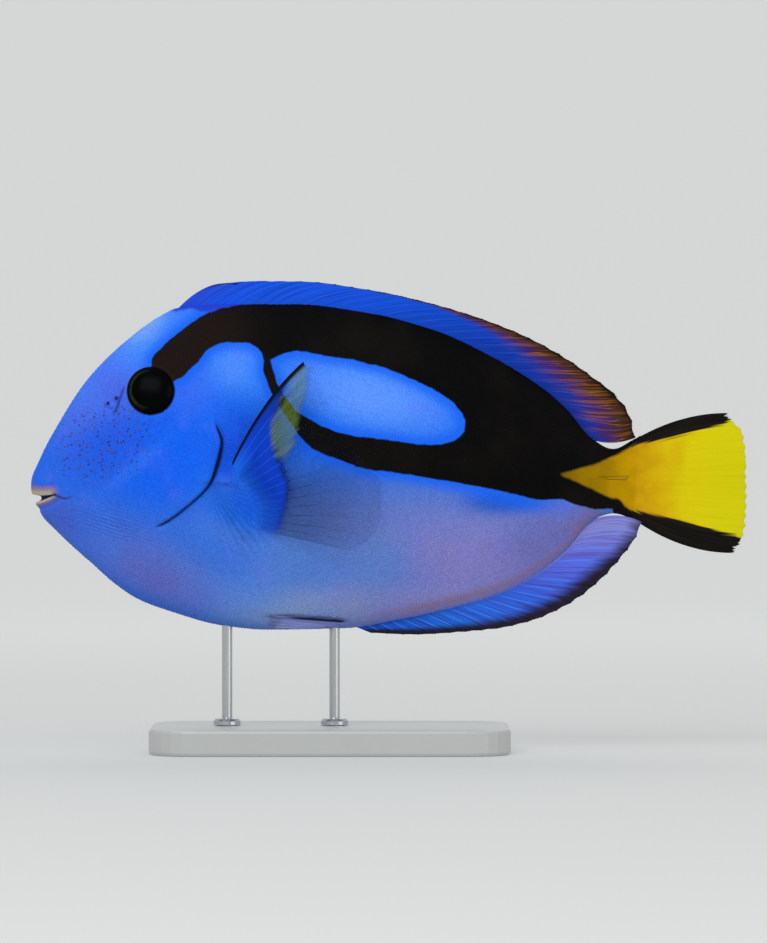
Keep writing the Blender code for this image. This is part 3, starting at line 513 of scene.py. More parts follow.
def paint(mesh):
    # the same markings for the skin and for the scales on it
    x, z = sideView(mesh)
    store(mesh, "tone", toLinear(washColours(x, z)), "FLOAT_COLOR")
    for name in ("band", "yellow", "sheath"):
        store(mesh, name, readField(fields[name], x, z))
    reach = 4.2 + 2.5 * ease(54, 66, x)
    rim = 1 - ease(0.08 * reach, reach, readField(fields["band"], x, z))
    store(mesh, "rim", 0.85 * rim * (1 - 0.95 * ease(68, 77, x)))
    freckles = bump(np.hypot((x - 12.3) / 5.6, (z - 6.8) / 5.2))
    store(mesh, "freckle", freckles + 0.6 * bump(np.hypot((x - 6.6) / 4, (z - 5.4) / 5)))
    rust = bump(((z - bodyAt("belly", x)) * mm - 2.6) / 1.5) * ease(44, 56, x) * (1 - ease(75, 79, x))
    store(mesh, "rust", rust)

    # painted shade in the gill opening and in a band behind the gill cover's edge, where the body sinks under
    # it
    gillOff, along, side = nearLine(head["gill"], x, z)
    shown = ease(0.0, 0.12, along) * (1 - ease(0.9, 1.0, along))
    broad = 0.35 + 0.75 * bump((along - 0.32) / 0.16)
    store(mesh, "slit", shown * np.where(side > 0, bump(gillOff / broad), bump(gillOff / 0.3)))

    r = eyeDistance(x, z)
    # painted shade in the crease round the eye, where the skin dips under it
    store(mesh, "lid", bump((r - 7.15) / 0.45))
    topOff, topAlong, topSide = nearLine(head["gapeTop"], x, z)
    lowOff, lowAlong, lowSide = nearLine(head["gapeBottom"], x, z)
    fade = 1 - ease(2.6, 4.8, x)
    upper = np.where(topSide > 0, bump(topOff / 2.7), 1)
    lower = np.where(lowSide < 0, bump(lowOff / 1.5), 1)
    store(mesh, "lip", fade * np.maximum(np.where(topSide > 0, upper, 0), np.where(lowSide < 0, lower, 0)))
    inGape = (topSide < 0) & (lowSide > 0) & (x < 3.7)
    lineOff, lineAlong, lineSide = nearLine(head["mouthLine"], x, z)
    # the crease along the mouth line is painted shade; the inside of the gape is its own dark brown
    crease = 0.8 * bump(lineOff / 0.3) * (1 - ease(0.5, 1, lineAlong)) * (x > 3.3)
    store(mesh, "mouth", np.maximum(np.where(inGape, ease(0.05, 0.3, np.minimum(topOff, lowOff)), 0), crease))

    # the pit mask is painted shade in the groove before the eye, the nostrils and the pelvic slits
    grooveOff, along, side = nearLine(head["groove"], x, z)
    slitOff, slitAlong, side = nearLine(head["pelvicSlit"], x, z)
    pits = 0.7 * bump(grooveOff / 0.4) * ease(0, 0.2, along) * (1 - ease(0.7, 1, along))
    pits += 0.9 * bump(slitOff / 0.35) * ease(0.0, 0.2, slitAlong) * (x > 31.5)
    for (nx, nz), radius in head["nostrils"]:
        pits += bump(np.hypot(x - nx, z - nz) * mm / (radius * 0.75))
    store(mesh, "pit", np.clip(pits, 0, 1))

    # fine folds at the throat and round the pectoral fin's foot: how strong, and millimetres across
    throat = bump(np.hypot((x - 11.4) / 5.2, (z + 5.0 + 0.18 * (x - 11.4)) / 2.0))
    across = (z + 5.0) * mm + 0.30 * (x - 11.4) * mm
    baseOff, baseAlong, baseSide = nearLine(head["finBase"], x, z)
    base = bump((baseOff - 1.5) / 5.0) * (z < 1)
    fan = np.degrees(np.arctan2(z - 1.5, x - 24.0)) / 5.5
    store(mesh, "fold", np.maximum(throat, base))
    store(mesh, "foldAcross", np.where(base > throat, fan, across / 1.15))


def closedMesh(bm, name, inward=False):
    bmesh.ops.recalc_face_normals(bm, faces=bm.faces)
    if inward:
        bmesh.ops.reverse_faces(bm, faces=bm.faces)
    mesh = bpy.data.meshes.new(name)
    bm.to_mesh(mesh)
    bm.free()
    return mesh


def addObject(name, mesh, material, smooth=True):
    made = bpy.data.objects.new(name, mesh)
    bpy.context.scene.collection.objects.link(made)
    mesh.materials.clear()
    mesh.materials.append(material)
    mesh.polygons.foreach_set("use_smooth", [smooth] * len(mesh.polygons))
    return made


def fill(tree, node, inputs):
    for key, value in inputs.items():
        if isinstance(value, bpy.types.NodeSocket):
            tree.links.new(value, node.inputs[key])
        else:
            node.inputs[key].default_value = value


def addNode(tree, kind, inputs=None, **settings):
    node = tree.nodes.new(kind)
    for key, value in settings.items():
        setattr(node, key, value)
    fill(tree, node, inputs or {})
    return node


def newMaterial(name):
    material = bpy.data.materials.new(name)
    material.use_nodes = True
    tree = material.node_tree
    return material, tree, tree.nodes["Principled BSDF"]


def attribute(tree, name, output="Fac"):
    return addNode(tree, "ShaderNodeAttribute", attribute_name=name).outputs[output]


def maths(tree, operation, a, b=0.0):
    return addNode(tree, "ShaderNodeMath", {0: a, 1: b}, operation=operation).outputs[0]


def plus(tree, a, b):
    return maths(tree, "ADD", a, b)


def minus(tree, a, b):
    return maths(tree, "SUBTRACT", a, b)


def times(tree, a, b):
    return maths(tree, "MULTIPLY", a, b)


def larger(tree, a, b):
    return maths(tree, "MAXIMUM", a, b)


def objectPlace(tree):
    return addNode(tree, "ShaderNodeTexCoord").outputs["Object"]


def noise(tree, where, scale, detail):
    inputs = {"Vector": where, "Scale": scale, "Detail": detail}
    return addNode(tree, "ShaderNodeTexNoise", inputs).outputs["Fac"]


def raiseGrain(tree, shader, height, strength, distance):
    raised = addNode(tree, "ShaderNodeBump", {"Height": height, "Strength": strength, "Distance": distance})
    tree.links.new(raised.outputs[0], shader.inputs["Normal"])


def ranged(tree, value, low, high, toLow=0.0, toHigh=1.0):
    inputs = {"Value": value, "From Min": low, "From Max": high, "To Min": toLow, "To Max": toHigh}
    return addNode(tree, "ShaderNodeMapRange", inputs, interpolation_type="SMOOTHSTEP").outputs[0]


def mixed(tree, factor, a, b):
    node = addNode(tree, "ShaderNodeMix", {0: factor, 6: a, 7: b}, data_type="RGBA", clamp_factor=True)
    return node.outputs[2]


def ramp(tree, value, stops):
    node = addNode(tree, "ShaderNodeValToRGB", {"Fac": value})
    elements = node.color_ramp.elements
    for spot, code in stops[2:]:
        elements.new(spot)
    for element, (spot, code) in zip(elements, stops):
        element.position = spot
        element.color = linear(code)
    return node.outputs["Color"]


def amberColour(tree):
    # the tail's yellow, dark amber at its point and clear at the rear; the fin goes on where the skin ends
    where = objectPlace(tree)
    back = addNode(tree, "ShaderNodeSeparateXYZ", {"Vector": where}).outputs["X"]
    cloud = noise(tree, where, 160.0, 3.0)
    along = addNode(tree, "ShaderNodeMapRange", {"Value": back, "From Min": 0.050, "From Max": 0.112})
    return ramp(tree, plus(tree, along.outputs[0], ranged(tree, cloud, 0.3, 0.7, -0.05, 0.05)), (
        (0.0, "#6E5404"), (0.24, "#957200"), (0.44, "#BE9100"), (0.56, "#CBA800"), (0.70, "#CFBF02"),
        (0.92, "#C8C102"),
    ))


def tangSkinMaterial():
    # Living fish skin, satin under a thin film of slime: soft broad gloss, no sparkle.
    # Its grain is about 0.8 mm across, coarser than in life so that it shows.
    material, tree, shader = newMaterial("satinFishSkin")
    where = objectPlace(tree)
    wander = noise(tree, where, 420.0, 3.0)
    shift = times(tree, minus(tree, wander, 0.5), 0.9)  # edges wander by half a millimetre

    cells = addNode(tree, "ShaderNodeTexVoronoi", {"Vector": where, "Scale": 1250.0, "Randomness": 0.75})
    grain = noise(tree, where, 1500.0, 2.0)
    cloud = noise(tree, where, 110.0, 4.0)
    patches = noise(tree, where, 38.0, 3.0)

    tone = attribute(tree, "tone", "Color")
    tone = mixed(tree, ranged(tree, cloud, 0.50, 0.78, 0.0, 0.20), tone, linear("#6A6EE0"))
    tone = mixed(tree, ranged(tree, patches, 0.52, 0.75, 0.0, 0.20), tone, linear("#2A84F6"))
    dimple = ranged(tree, cells.outputs["Distance"], 0.15, 0.6, 0.05, -0.07)
    speck = plus(tree, ranged(tree, grain, 0.3, 0.7, -0.06, 0.06), dimple)
    shade = times(tree, minus(tree, attribute(tree, "shade"), 0.5), 0.09)
    bright = plus(tree, plus(tree, 1.0, speck), shade)
    tone = addNode(tree, "ShaderNodeHueSaturation", {"Color": tone, "Value": bright}).outputs[0]

    dots = addNode(tree, "ShaderNodeTexVoronoi", {"Vector": where, "Scale": 840.0, "Randomness": 1.0})
    drawn = addNode(tree, "ShaderNodeSeparateColor", {"Color": dots.outputs["Color"]}).outputs
    dot = times(tree, ranged(tree, dots.outputs["Distance"], 0.40, 0.22), ranged(tree, drawn[0], 0.06, 0.16))
    dot = times(tree, dot, ranged(tree, attribute(tree, "freckle"), 0.15, 0.7))
    dotTone = mixed(tree, drawn[1], linear("#10185A"), linear("#5E3C34"))
    tone = mixed(tree, ranged(tree, attribute(tree, "freckle"), 0.3, 1.0, 0.0, 0.30), tone, linear("#2748D0"))
    tone = mixed(tree, times(tree, dot, 0.72), tone, dotTone)
    tone = mixed(tree, times(tree, attribute(tree, "rust"), 0.5), tone, linear("#8A6478"))

    band = plus(tree, attribute(tree, "band"), shift)
    tone = mixed(tree, attribute(tree, "rim"), tone, linear("#0E60EA"))  # bright rim beside the black
    sheath = ranged(tree, plus(tree, attribute(tree, "sheath"), shift), 0.5, -0.5)
    tone = mixed(tree, sheath, tone, linear("#2140C4"))

    fold = attribute(tree, "fold")
    folds = times(tree, attribute(tree, "foldAcross"), 6.283)
    waves = maths(tree, "SINE", plus(tree, folds, times(tree, cloud, 9.0)))
    foldShade = times(tree, ranged(tree, waves, 0.2, -1.0), fold)
    tone = mixed(tree, times(tree, foldShade, 0.30), tone, linear("#2238A0"))

    lip = ramp(tree, attribute(tree, "lip"), (
        (0.0, "#3D55C8"), (0.30, "#6658B0"), (0.62, "#7E7094"), (0.84, "#94897F"), (0.97, "#B0A48E"),
    ))
    tone = mixed(tree, ranged(tree, attribute(tree, "lip"), 0.12, 0.5), tone, lip)
    # the gape's inside in its own dark brown; the crease along the mouth line, in the same colour, is painted
    # shade
    tone = mixed(tree, attribute(tree, "mouth"), tone, linear("#3A2A1E"))
    # painted shade in the groove before the eye, the nostrils and the pelvic slits
    tone = mixed(tree, times(tree, attribute(tree, "pit"), 0.85), tone, linear("#0A1240"))
    # painted shade in the crease round the eye
    tone = mixed(tree, ranged(tree, attribute(tree, "lid"), 0.25, 0.9, 0.0, 0.9), tone, linear("#0A1238"))
    # painted shade in the gill opening and behind the gill cover's edge
    tone = mixed(tree, ranged(tree, attribute(tree, "slit"), 0.15, 0.8), tone, linear("#03102E"))

    soot = mixed(tree, ranged(tree, patches, 0.4, 0.7), linear("#070707"), linear("#120F0D"))
    back = addNode(tree, "ShaderNodeSeparateXYZ", {"Vector": where}).outputs["X"]
    soot = mixed(tree, ranged(tree, back, -0.030, -0.062, 0.0, 1.0), soot, linear("#1C1311"))
    black = ranged(tree, band, 0.28, -0.28)
    tone = mixed(tree, black, tone, soot)
    yellow = plus(tree, attribute(tree, "yellow"), shift)
    tone = mixed(tree, ranged(tree, yellow, 0.5, -0.6), tone, amberColour(tree))
    tree.links.new(tone, shader.inputs["Base Color"])

    height = plus(tree, times(tree, cells.outputs["Distance"], -0.5), times(tree, grain, 0.35))
    height = plus(tree, height, times(tree, times(tree, waves, fold), 1.1))
    raiseGrain(tree, shader, height, 0.55, 0.00010)
    rough = ranged(tree, grain, 0.3, 0.7, 0.42, 0.56)
    fill(tree, shader, {
        "Roughness": rough, "Specular IOR Level": minus(tree, 0.10, times(tree, black, 0.06)),
        "IOR": 1.38,
    })
    return material


skinMaterial = tangSkinMaterial()
skinMesh = makeSkin()
paint(skinMesh)
store(skinMesh, "shade", np.full(len(skinMesh.vertices), 0.5))
skinPiece = addObject("skin", skinMesh, skinMaterial)
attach(skinPiece, "root")
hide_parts("head", "trunk", "tail_stalk")
print("skin:", sum(len(p.vertices) - 2 for p in skinMesh.polygons), "triangles")


def newTree(name, inputs):
    tree = bpy.data.node_groups.new(name, "GeometryNodeTree")
    tree.interface.new_socket("Geometry", in_out="INPUT", socket_type="NodeSocketGeometry")
    for label, kind, value in inputs:
        socket = tree.interface.new_socket(label, in_out="INPUT", socket_type=kind)
        if value is not None:
            socket.default_value = value
    tree.interface.new_socket("Geometry", in_out="OUTPUT", socket_type="NodeSocketGeometry")
    return tree, addNode(tree, "NodeGroupInput").outputs, addNode(tree, "NodeGroupOutput").inputs


def named(tree, name, kind="FLOAT"):
    return addNode(tree, "GeometryNodeInputNamedAttribute", {"Name": name}, data_type=kind).outputs[0]


def endTree(tree, geometry, given, result):
    realized = addNode(tree, "GeometryNodeRealizeInstances", {"Geometry": geometry})
    inputs = {"Geometry": realized.outputs[0], "Material": given["Material"]}
    tree.links.new(addNode(tree, "GeometryNodeSetMaterial", inputs).outputs[0], result["Geometry"])
    return tree


def grow(name, base, tree, values):
    # runs a tree on a base mesh and keeps the result as a plain mesh
    holder = bpy.data.objects.new(name, base)
    bpy.context.scene.collection.objects.link(holder)
    modifier = holder.modifiers.new("grow", "NODES")
    modifier.node_group = tree
    for item in tree.interface.items_tree:
        if item.in_out == "INPUT" and item.name in values:
            modifier[item.identifier] = values[item.name]
    evaluated = holder.evaluated_get(bpy.context.evaluated_depsgraph_get())
    mesh = bpy.data.meshes.new_from_object(evaluated)
    holder.modifiers.clear()
    bpy.data.objects.remove(holder)
    bpy.data.meshes.remove(base)
    return mesh


scales = {
    "bodyPitch": (0.98, 0.80),  # millimetres along the body and across
    "headPitch": (0.78, 0.66),
    "length": 1.55,  # of the pitch along, so that each covers the next one's root
    "width": 1.20,  # of the pitch across
    "height": 0.16,  # millimetres
    "hood": 0.42,  # how far back the top of a plate leans, as a share of half its length
    "headSpan": (1.8, 27.5),
    "bodySpan": (27.6, 84.2),
    "jitter": (0.06, 0.0012),  # along the body, and in turn
    "sunk": 0.03,  # millimetres into the skin
    "corners": 6,
    "variation": 0.12,
    "seed": 7,
    "patch": 0.003,  # of the bake map
}


def scaleTree():
    # one low hooded plate on each root, pointing the way the body lies
    tree, given, result = newTree("scaleCoat", (
        ("Length", "NodeSocketFloat", 0.0012), ("Width", "NodeSocketFloat", 0.0008),
        ("Height", "NodeSocketFloat", 0.00015), ("Corners", "NodeSocketInt", 6),
        ("Variation", "NodeSocketFloat", 0.1), ("Seed", "NodeSocketInt", 1),
        ("Material", "NodeSocketMaterial", None),
    ))
    cone = addNode(tree, "GeometryNodeMeshCone", {
        "Vertices": given["Corners"], "Radius Top": 0.0, "Radius Bottom": 1.0, "Depth": 1.0,
    }, fill_type="NGON")
    spot = addNode(tree, "GeometryNodeInputPosition").outputs[0]
    height = addNode(tree, "ShaderNodeSeparateXYZ", {0: spot}).outputs["Z"]
    apex = addNode(tree, "FunctionNodeCompare", {0: height, 1: 0.5}, operation="GREATER_THAN")
    hooded = addNode(tree, "GeometryNodeSetPosition", {
        "Geometry": cone.outputs["Mesh"], "Selection": apex.outputs[0], "Offset": (scales["hood"], 0, 0),
    })
    corner = addNode(tree, "GeometryNodeInputPosition").outputs[0]
    patch = addNode(tree, "GeometryNodeStoreNamedAttribute", {
        "Geometry": hooded.outputs[0], "Name": "patch", "Value": corner,
    }, data_type="FLOAT_VECTOR", domain="POINT")
    size = addNode(tree, "ShaderNodeCombineXYZ", {
        "X": times(tree, given["Length"], 0.5), "Y": times(tree, given["Width"], 0.5), "Z": given["Height"],
    })
    plate = addNode(tree, "GeometryNodeTransform", {"Geometry": patch.outputs[0], "Scale": size.outputs[0]})
    lie, out = named(tree, "lie", "FLOAT_VECTOR"), named(tree, "out", "FLOAT_VECTOR")
    axes = {"Primary Axis": lie, "Secondary Axis": out}
    aimed = addNode(tree, "FunctionNodeAxesToRotation", axes, primary_axis="X", secondary_axis="Z")
    least, most = minus(tree, 1.0, given["Variation"]), plus(tree, 1.0, given["Variation"])
    spread = {2: least, 3: most, "Seed": given["Seed"]}
    drawn = addNode(tree, "FunctionNodeRandomValue", spread, data_type="FLOAT").outputs[1]
    placed = addNode(tree, "GeometryNodeInstanceOnPoints", {
        "Points": given["Geometry"], "Instance": plate.outputs[0], "Rotation": aimed.outputs[0],
        "Scale": times(tree, drawn, named(tree, "grown")),
    })
    return endTree(tree, placed.outputs[0], given, result)


def scaleRoots(pitch, fromX, toX, side):
    # rows keep an even distance from the midline of the flank, so they run out at the back and belly
    along, across = pitch[0] / mm, pitch[1] / mm
    xs = np.arange(fromX, toX, along)
    xList, turnList = [], []
    for k, x in enumerate(xs):
        turn = np.linspace(-math.pi / 2, math.pi / 2, 241)
        ring = onBody(np.full(turn.shape, x), turn)
        gone = np.concatenate([[0], np.cumsum(np.linalg.norm(np.diff(ring, axis=0), axis=1))])
        middle = gone[120]
        low, high = math.ceil(-middle / across), math.floor((gone[-1] - middle) / across)
        rows = (np.arange(low, high + 1) + 0.5 * (k % 2)) * across + middle
        rows = rows[(rows > 0.3 * across) & (rows < gone[-1] - 0.3 * across)]
        found = np.interp(rows, gone, turn)
        xList.append(np.full(found.shape, x))
        turnList.append(found if side > 0 else math.pi - found)
    return np.concatenate(xList), np.concatenate(turnList)


bareReach = {  # millimetres from each feature within which no scale grows
    "eye": 8.3, "nostril": 0.75, "gill": 1.5,
    "lines": {"groove": 0.9, "mouthLine": 0.9, "finBase": 1.8, "pelvicSlit": 0.9, "spine": 1.9},
}


def bareSkin(x, z):
    bare = eyeDistance(x, z) < bareReach["eye"]
    for (nx, nz), radius in head["nostrils"]:
        bare |= np.hypot(x - nx, z - nz) * mm < radius + bareReach["nostril"]
    bare |= (x < 5.2) & (z > -3.4) & (z < 1.2) | (x < 1.6)  # lips
    off, along, side = nearLine(head["gill"], x, z)
    bare |= (off < bareReach["gill"]) & (along > 0.001) & (along < 0.999)
    for key, reach in bareReach["lines"].items():
        bare |= nearLine(head[key], x, z)[0] < reach
    return bare


def makeScales(name, part, side, tree, rng):
    pitch = scales[part + "Pitch"]
    x, turn = scaleRoots(pitch, *scales[part + "Span"], side)
    stray, sway = scales["jitter"]
    x = x + rng.uniform(-stray, stray, len(x))
    turn = turn + rng.uniform(-sway, sway, len(x))
    place = onBody(x, turn)
    keep = ~bareSkin(place[:, 0], place[:, 2])
    x, turn, place = x[keep], turn[keep], place[keep]
    out, back = outOfBody(x, turn)
    eps = 0.25
    aheadOf, behind = onBody(np.maximum(x - eps, 0), turn), onBody(x + eps, turn)
    slope = (relief(behind[:, 0], behind[:, 2]) - relief(aheadOf[:, 0], aheadOf[:, 2])) / (2 * eps * mm)
    height = relief(place[:, 0], place[:, 2]) - skin["inset"] - scales["sunk"]
    place = place + out * height[:, None] / mm
    lie = unit(back + out * np.clip(slope, -0.6, 0.6)[:, None])
    base = bpy.data.meshes.new("roots")
    base.vertices.add(len(x))
    base.vertices.foreach_set("co", metres(place).ravel())
    small = 0.8 + 0.2 * ease(2, 10, x) - 0.25 * ease(70, 84, x)
    store(base, "lie", lie, "FLOAT_VECTOR")
    store(base, "out", out, "FLOAT_VECTOR")
    store(base, "grown", small)
    whole = np.mod(turn + math.pi / 2, 2 * math.pi) - math.pi / 2
    bake = [x / body["end"], np.interp(whole, aroundTurn, aroundShare), 0 * x]
    store(base, "root", np.stack(bake, 1), "FLOAT_VECTOR")
    mesh = grow(name, base, tree, {
        "Length": scales["length"] * pitch[0] / 1000, "Width": scales["width"] * pitch[1] / 1000,
        "Height": scales["height"] / 1000, "Corners": scales["corners"], "Variation": scales["variation"],
        "Seed": scales["seed"], "Material": skinMaterial,
    })
    vectors = {}
    for key in ("patch", "root"):
        values = np.empty(len(mesh.vertices) * 3, np.float32)
        mesh.attributes[key].data.foreach_get("vector", values)
        vectors[key] = values.reshape(-1, 3)
    corner = np.empty(len(mesh.loops), np.int32)
    mesh.loops.foreach_get("vertex_index", corner)
    uv = vectors["root"][corner, :2] + vectors["patch"][corner, :2] * scales["patch"] / 2
    mesh.uv_layers.new(name="OFBake").data.foreach_set("uv", uv.astype(np.float32).ravel())
    for key in ("patch", "root", "lie", "out", "grown"):
        if key in mesh.attributes:
            mesh.attributes.remove(mesh.attributes[key])
    paint(mesh)
    root = vectors["root"].astype(float)
    store(mesh, "shade", np.mod(np.sin(root[:, 0] * 12989.8 + root[:, 1] * 78233.0) * 43758.5, 1))
    piece = addObject(name, mesh, skinMaterial, smooth=False)
    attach(piece, "root")
    print(name, len(x), "scales,", sum(len(p.vertices) - 2 for p in mesh.polygons), "triangles")


coatTree = scaleTree()
draw = np.random.default_rng(scales["seed"])
for side, word in ((-1, "Left"), (1, "Right")):
    for part in ("head", "body"):
        makeScales("scales" + part.title() + word, part, side, coatTree, draw)


def alongLine(points, s):
    # the place at share s of a smooth line
    p = np.array(points, float)
    gone = np.concatenate([[0], np.cumsum(np.linalg.norm(np.diff(p, axis=0), axis=1))])
    return tuple(curveAt(np.stack([gone, values], 1), s * gone[-1]) for values in p.T)


def ridge(key, x, lift, up):
    # a place on the midline of the back or belly, lift millimetres off it
    ahead = np.stack([x - 0.2, bodyAt(key, x - 0.2)], -1)
    behind = np.stack([x + 0.2, bodyAt(key, x + 0.2)], -1)
    way = unit(behind - ahead)
    off = np.stack([-way[..., 1], way[..., 0]], -1) * up * lift / mm
    return x + off[..., 0], bodyAt(key, x) + off[..., 1]


fins = {
    "dorsal": {
        "root": (20.1, 77.6),
        "margin": (
            (28.6, 28.55), (33, 28.95), (38, 28.95), (46.8, 27.9), (56.8, 25.7), (66.9, 22.3), (73.6, 19.0),
            (78.6, 15.6), (82.1, 12.7), (83.8, 10.0), (84.4, 7.2),
        ),
        "rays": 28, "spines": 9, "bows": (1.4, 0.8), "line": "back", "up": 1,
    },
    "anal": {
        "root": (44.8, 77.4),
        "margin": (
            (47.6, -20.1), (53.5, -20.35), (60, -20.0), (65.2, -19.5), (70, -18.4), (75.3, -16.0),
            (79.7, -12.6), (82.8, -9.2), (84.7, -6.4), (85.3, -4.6),
        ),
        "rays": 21, "spines": 3, "bows": (0.0, 1.1), "line": "belly", "up": -1,
    },
    "caudal": {
        "margin": (
            (97.3, 10.6), (98.4, 9.2), (99.5, 7.9), (99.9, 4.0), (100, -1.0), (99.9, -4.6), (99.4, -6.8),
            (98.3, -8.9),
        ),
        "rays": 16, "bulge": (1.05, 1.35),
    },
    "pectoral": {
        "root": ((27.2, 0.9), (29.6, -5.0)),
        "margin": (
            (38.2, 17.6), (40.4, 15.6), (41.6, 11.6), (42.6, 7.6), (46.4, 4.2), (49.1, 0.9), (49.3, -2.8),
            (47.8, -6.6), (44.6, -8.5),
        ),
        "rays": 15, "spread": 7.5, "sink": 2.2, "cup": 1.2, "bow": 1.3,
    },
    "pelvic": {
        "root": ((32.0, -17.5), (32.5, -19.1)),
        "margin": ((43.9, -18.35), (43.5, -18.8), (39.0, -19.5)),
        "rays": 4, "sink": 1.2, "lift": 0.7, "low": -19.0, "bulge": 1.3,
    },
}


def medianPlace(fin):
    def place(u, v):
        x0 = fin["root"][0] + (fin["root"][1] - fin["root"][0]) * u
        startX, startZ = ridge(fin["line"], x0, -1.2, fin["up"])
        endX, endZ = alongLine(fin["margin"], u)
        bow = (fin["bows"][0] * (1 - u) ** 2 - fin["bows"][1] * u**8) * fin["up"] * 4 * v * (1 - v)
        y = -1.0 * (u * v) ** 3 + 0.18 * np.sin(9 * u) * v * (1 - u**4)
        return np.stack([startX + (endX - startX) * v, y, startZ + (endZ - startZ) * v + bow], -1)

    return place


def caudalPlace(u, v):
    fin = fins["caudal"]
    top, bottom = bodyAt("back", 83.8), bodyAt("belly", 83.8)
    startZ = top + (bottom - top) * (0.04 + 0.92 * u)
    endX, endZ = alongLine(fin["margin"], u)
    bulge = np.where(u < 0.5, *fin["bulge"])
    z = startZ + (endZ - startZ) * v + bulge * (1 - 2 * u) * 4 * v * (1 - v)
    ripple = 0.16 * np.sin(11 * u + 1) * v * v
    return np.stack([83.8 + (endX - 83.8) * v, ripple, z], -1)


def pectoralPlace(side):
    fin = fins["pectoral"]
    (topX, topZ), (lowX, lowZ) = fin["root"]

    def place(u, v):
        x0, z0 = topX + (lowX - topX) * u, topZ + (lowZ - topZ) * u
        start = flank(x0, z0, side, -fin["sink"])
        endX, endZ = alongLine(fin["margin"], u)
        endY = flank(x0, z0, side, fin["spread"])[..., 1]
        cup = side * fin["cup"] / mm * 4 * v * (1 - v)
        y = start[..., 1] + (endY - start[..., 1]) * v + cup
        bow = fin["bow"] * (1 - u) ** 2 * 4 * v * (1 - v)
        return np.stack([x0 + (endX - x0) * v - 0.4 * bow, y, z0 + (endZ - z0) * v + bow], -1)

    return place


def pelvicPlace(side):
    fin = fins["pelvic"]
    (topX, topZ), (lowX, lowZ) = fin["root"]

    def place(u, v):
        x0, z0 = topX + (lowX - topX) * u, topZ + (lowZ - topZ) * u
        start = flank(x0, z0, side, -fin["sink"])
        endX, endZ = alongLine(fin["margin"], u)
        endY = flank(endX, np.maximum(endZ, fin["low"]), side, fin["lift"])[..., 1]
        y = start[..., 1] + (endY - start[..., 1]) * v + side * fin["bulge"] / mm * 4 * v * (1 - v)
        return np.stack([x0 + (endX - x0) * v, y, z0 + (endZ - z0) * v], -1)

    return place


def sheetNormals(place, u, v):
    du, dv = 0.004, 0.01
    acrossFin = place(np.minimum(u + du, 1), v) - place(np.maximum(u - du, 0), v)
    outFin = place(u, np.minimum(v + dv, 1)) - place(u, np.maximum(v - dv, 0))
    return unit(np.cross(acrossFin, outFin))


def webMesh(name, place, rays, perRay, rows, thick, reach):
    # a closed sheet, thick[0] millimetres at its root and thick[1] at its margin; reach(u) trims it
    columns = (rays - 1) * perRay + 1
    u, v = np.meshgrid(np.linspace(0, 1, columns), np.linspace(0, 1, rows + 1) ** 0.9, indexing="ij")
    trimmed = v * (1 - (1 - reach(u)) * v**3)
    middle = place(u, trimmed)
    normal = sheetNormals(place, u, trimmed)
    half = (thick[1] + (thick[0] - thick[1]) * (1 - v) ** 2.5) / 2 / mm
    half = half * (1 - 0.6 * ease(0.9, 1, v))
    near, far = middle + normal * half[..., None], middle - normal * half[..., None]
    across, down = columns, rows + 1
    index = np.arange(across * down).reshape(across, down)
    other = index + across * down
    faces = []
    for a, flip in ((index, False), (other, True)):
        quads = np.stack([a[:-1, :-1], a[1:, :-1], a[1:, 1:], a[:-1, 1:]], -1).reshape(-1, 4)
        faces.append(quads[:, ::-1] if flip else quads)
    for edgeA, edgeB in (
        (index[:, 0], other[:, 0]), (other[:, -1], index[:, -1]),
        (other[0], index[0]), (index[-1], other[-1]),
    ):
        faces.append(np.stack([edgeA[:-1], edgeB[:-1], edgeB[1:], edgeA[1:]], -1))
    faces = np.concatenate(faces)
    mesh = bpy.data.meshes.new(name)
    mesh.from_pydata(metres(np.concatenate([near.reshape(-1, 3), far.reshape(-1, 3)])), [], faces.tolist())
    store(mesh, "finU", np.tile(u.ravel(), 2))
    store(mesh, "finV", np.tile(trimmed.ravel(), 2))
    storeMarks(mesh)
    mesh.update()
    facing(mesh)
    return mesh


def storeMarks(mesh):
    x, z = sideView(mesh)
    for name in ("yellow", "finPatch", "finFoot"):
        store(mesh, name, readField(fields[name], x, z))


def facing(mesh):
    bm = bmesh.new()
    bm.from_mesh(mesh)
    bmesh.ops.recalc_face_normals(bm, faces=bm.faces)
    bm.to_mesh(mesh)
    bm.free()


def rayTree():
    # a tapered round rod along each line, its radius read from the line's own points
    inputs = (("Sides", "NodeSocketInt", 6), ("Material", "NodeSocketMaterial", None))
    tree, given, result = newTree("finRays", inputs)
    curve = addNode(tree, "GeometryNodeMeshToCurve", {"Mesh": given["Geometry"]})
    ring = addNode(tree, "GeometryNodeCurvePrimitiveCircle", {"Resolution": given["Sides"], "Radius": 1.0})
    rods = addNode(tree, "GeometryNodeCurveToMesh", {
        "Curve": curve.outputs[0], "Profile Curve": ring.outputs[0], "Scale": named(tree, "thick"),
        "Fill Caps": True,
    })
    return endTree(tree, rods.outputs[0], given, result)


rodTree = rayTree()


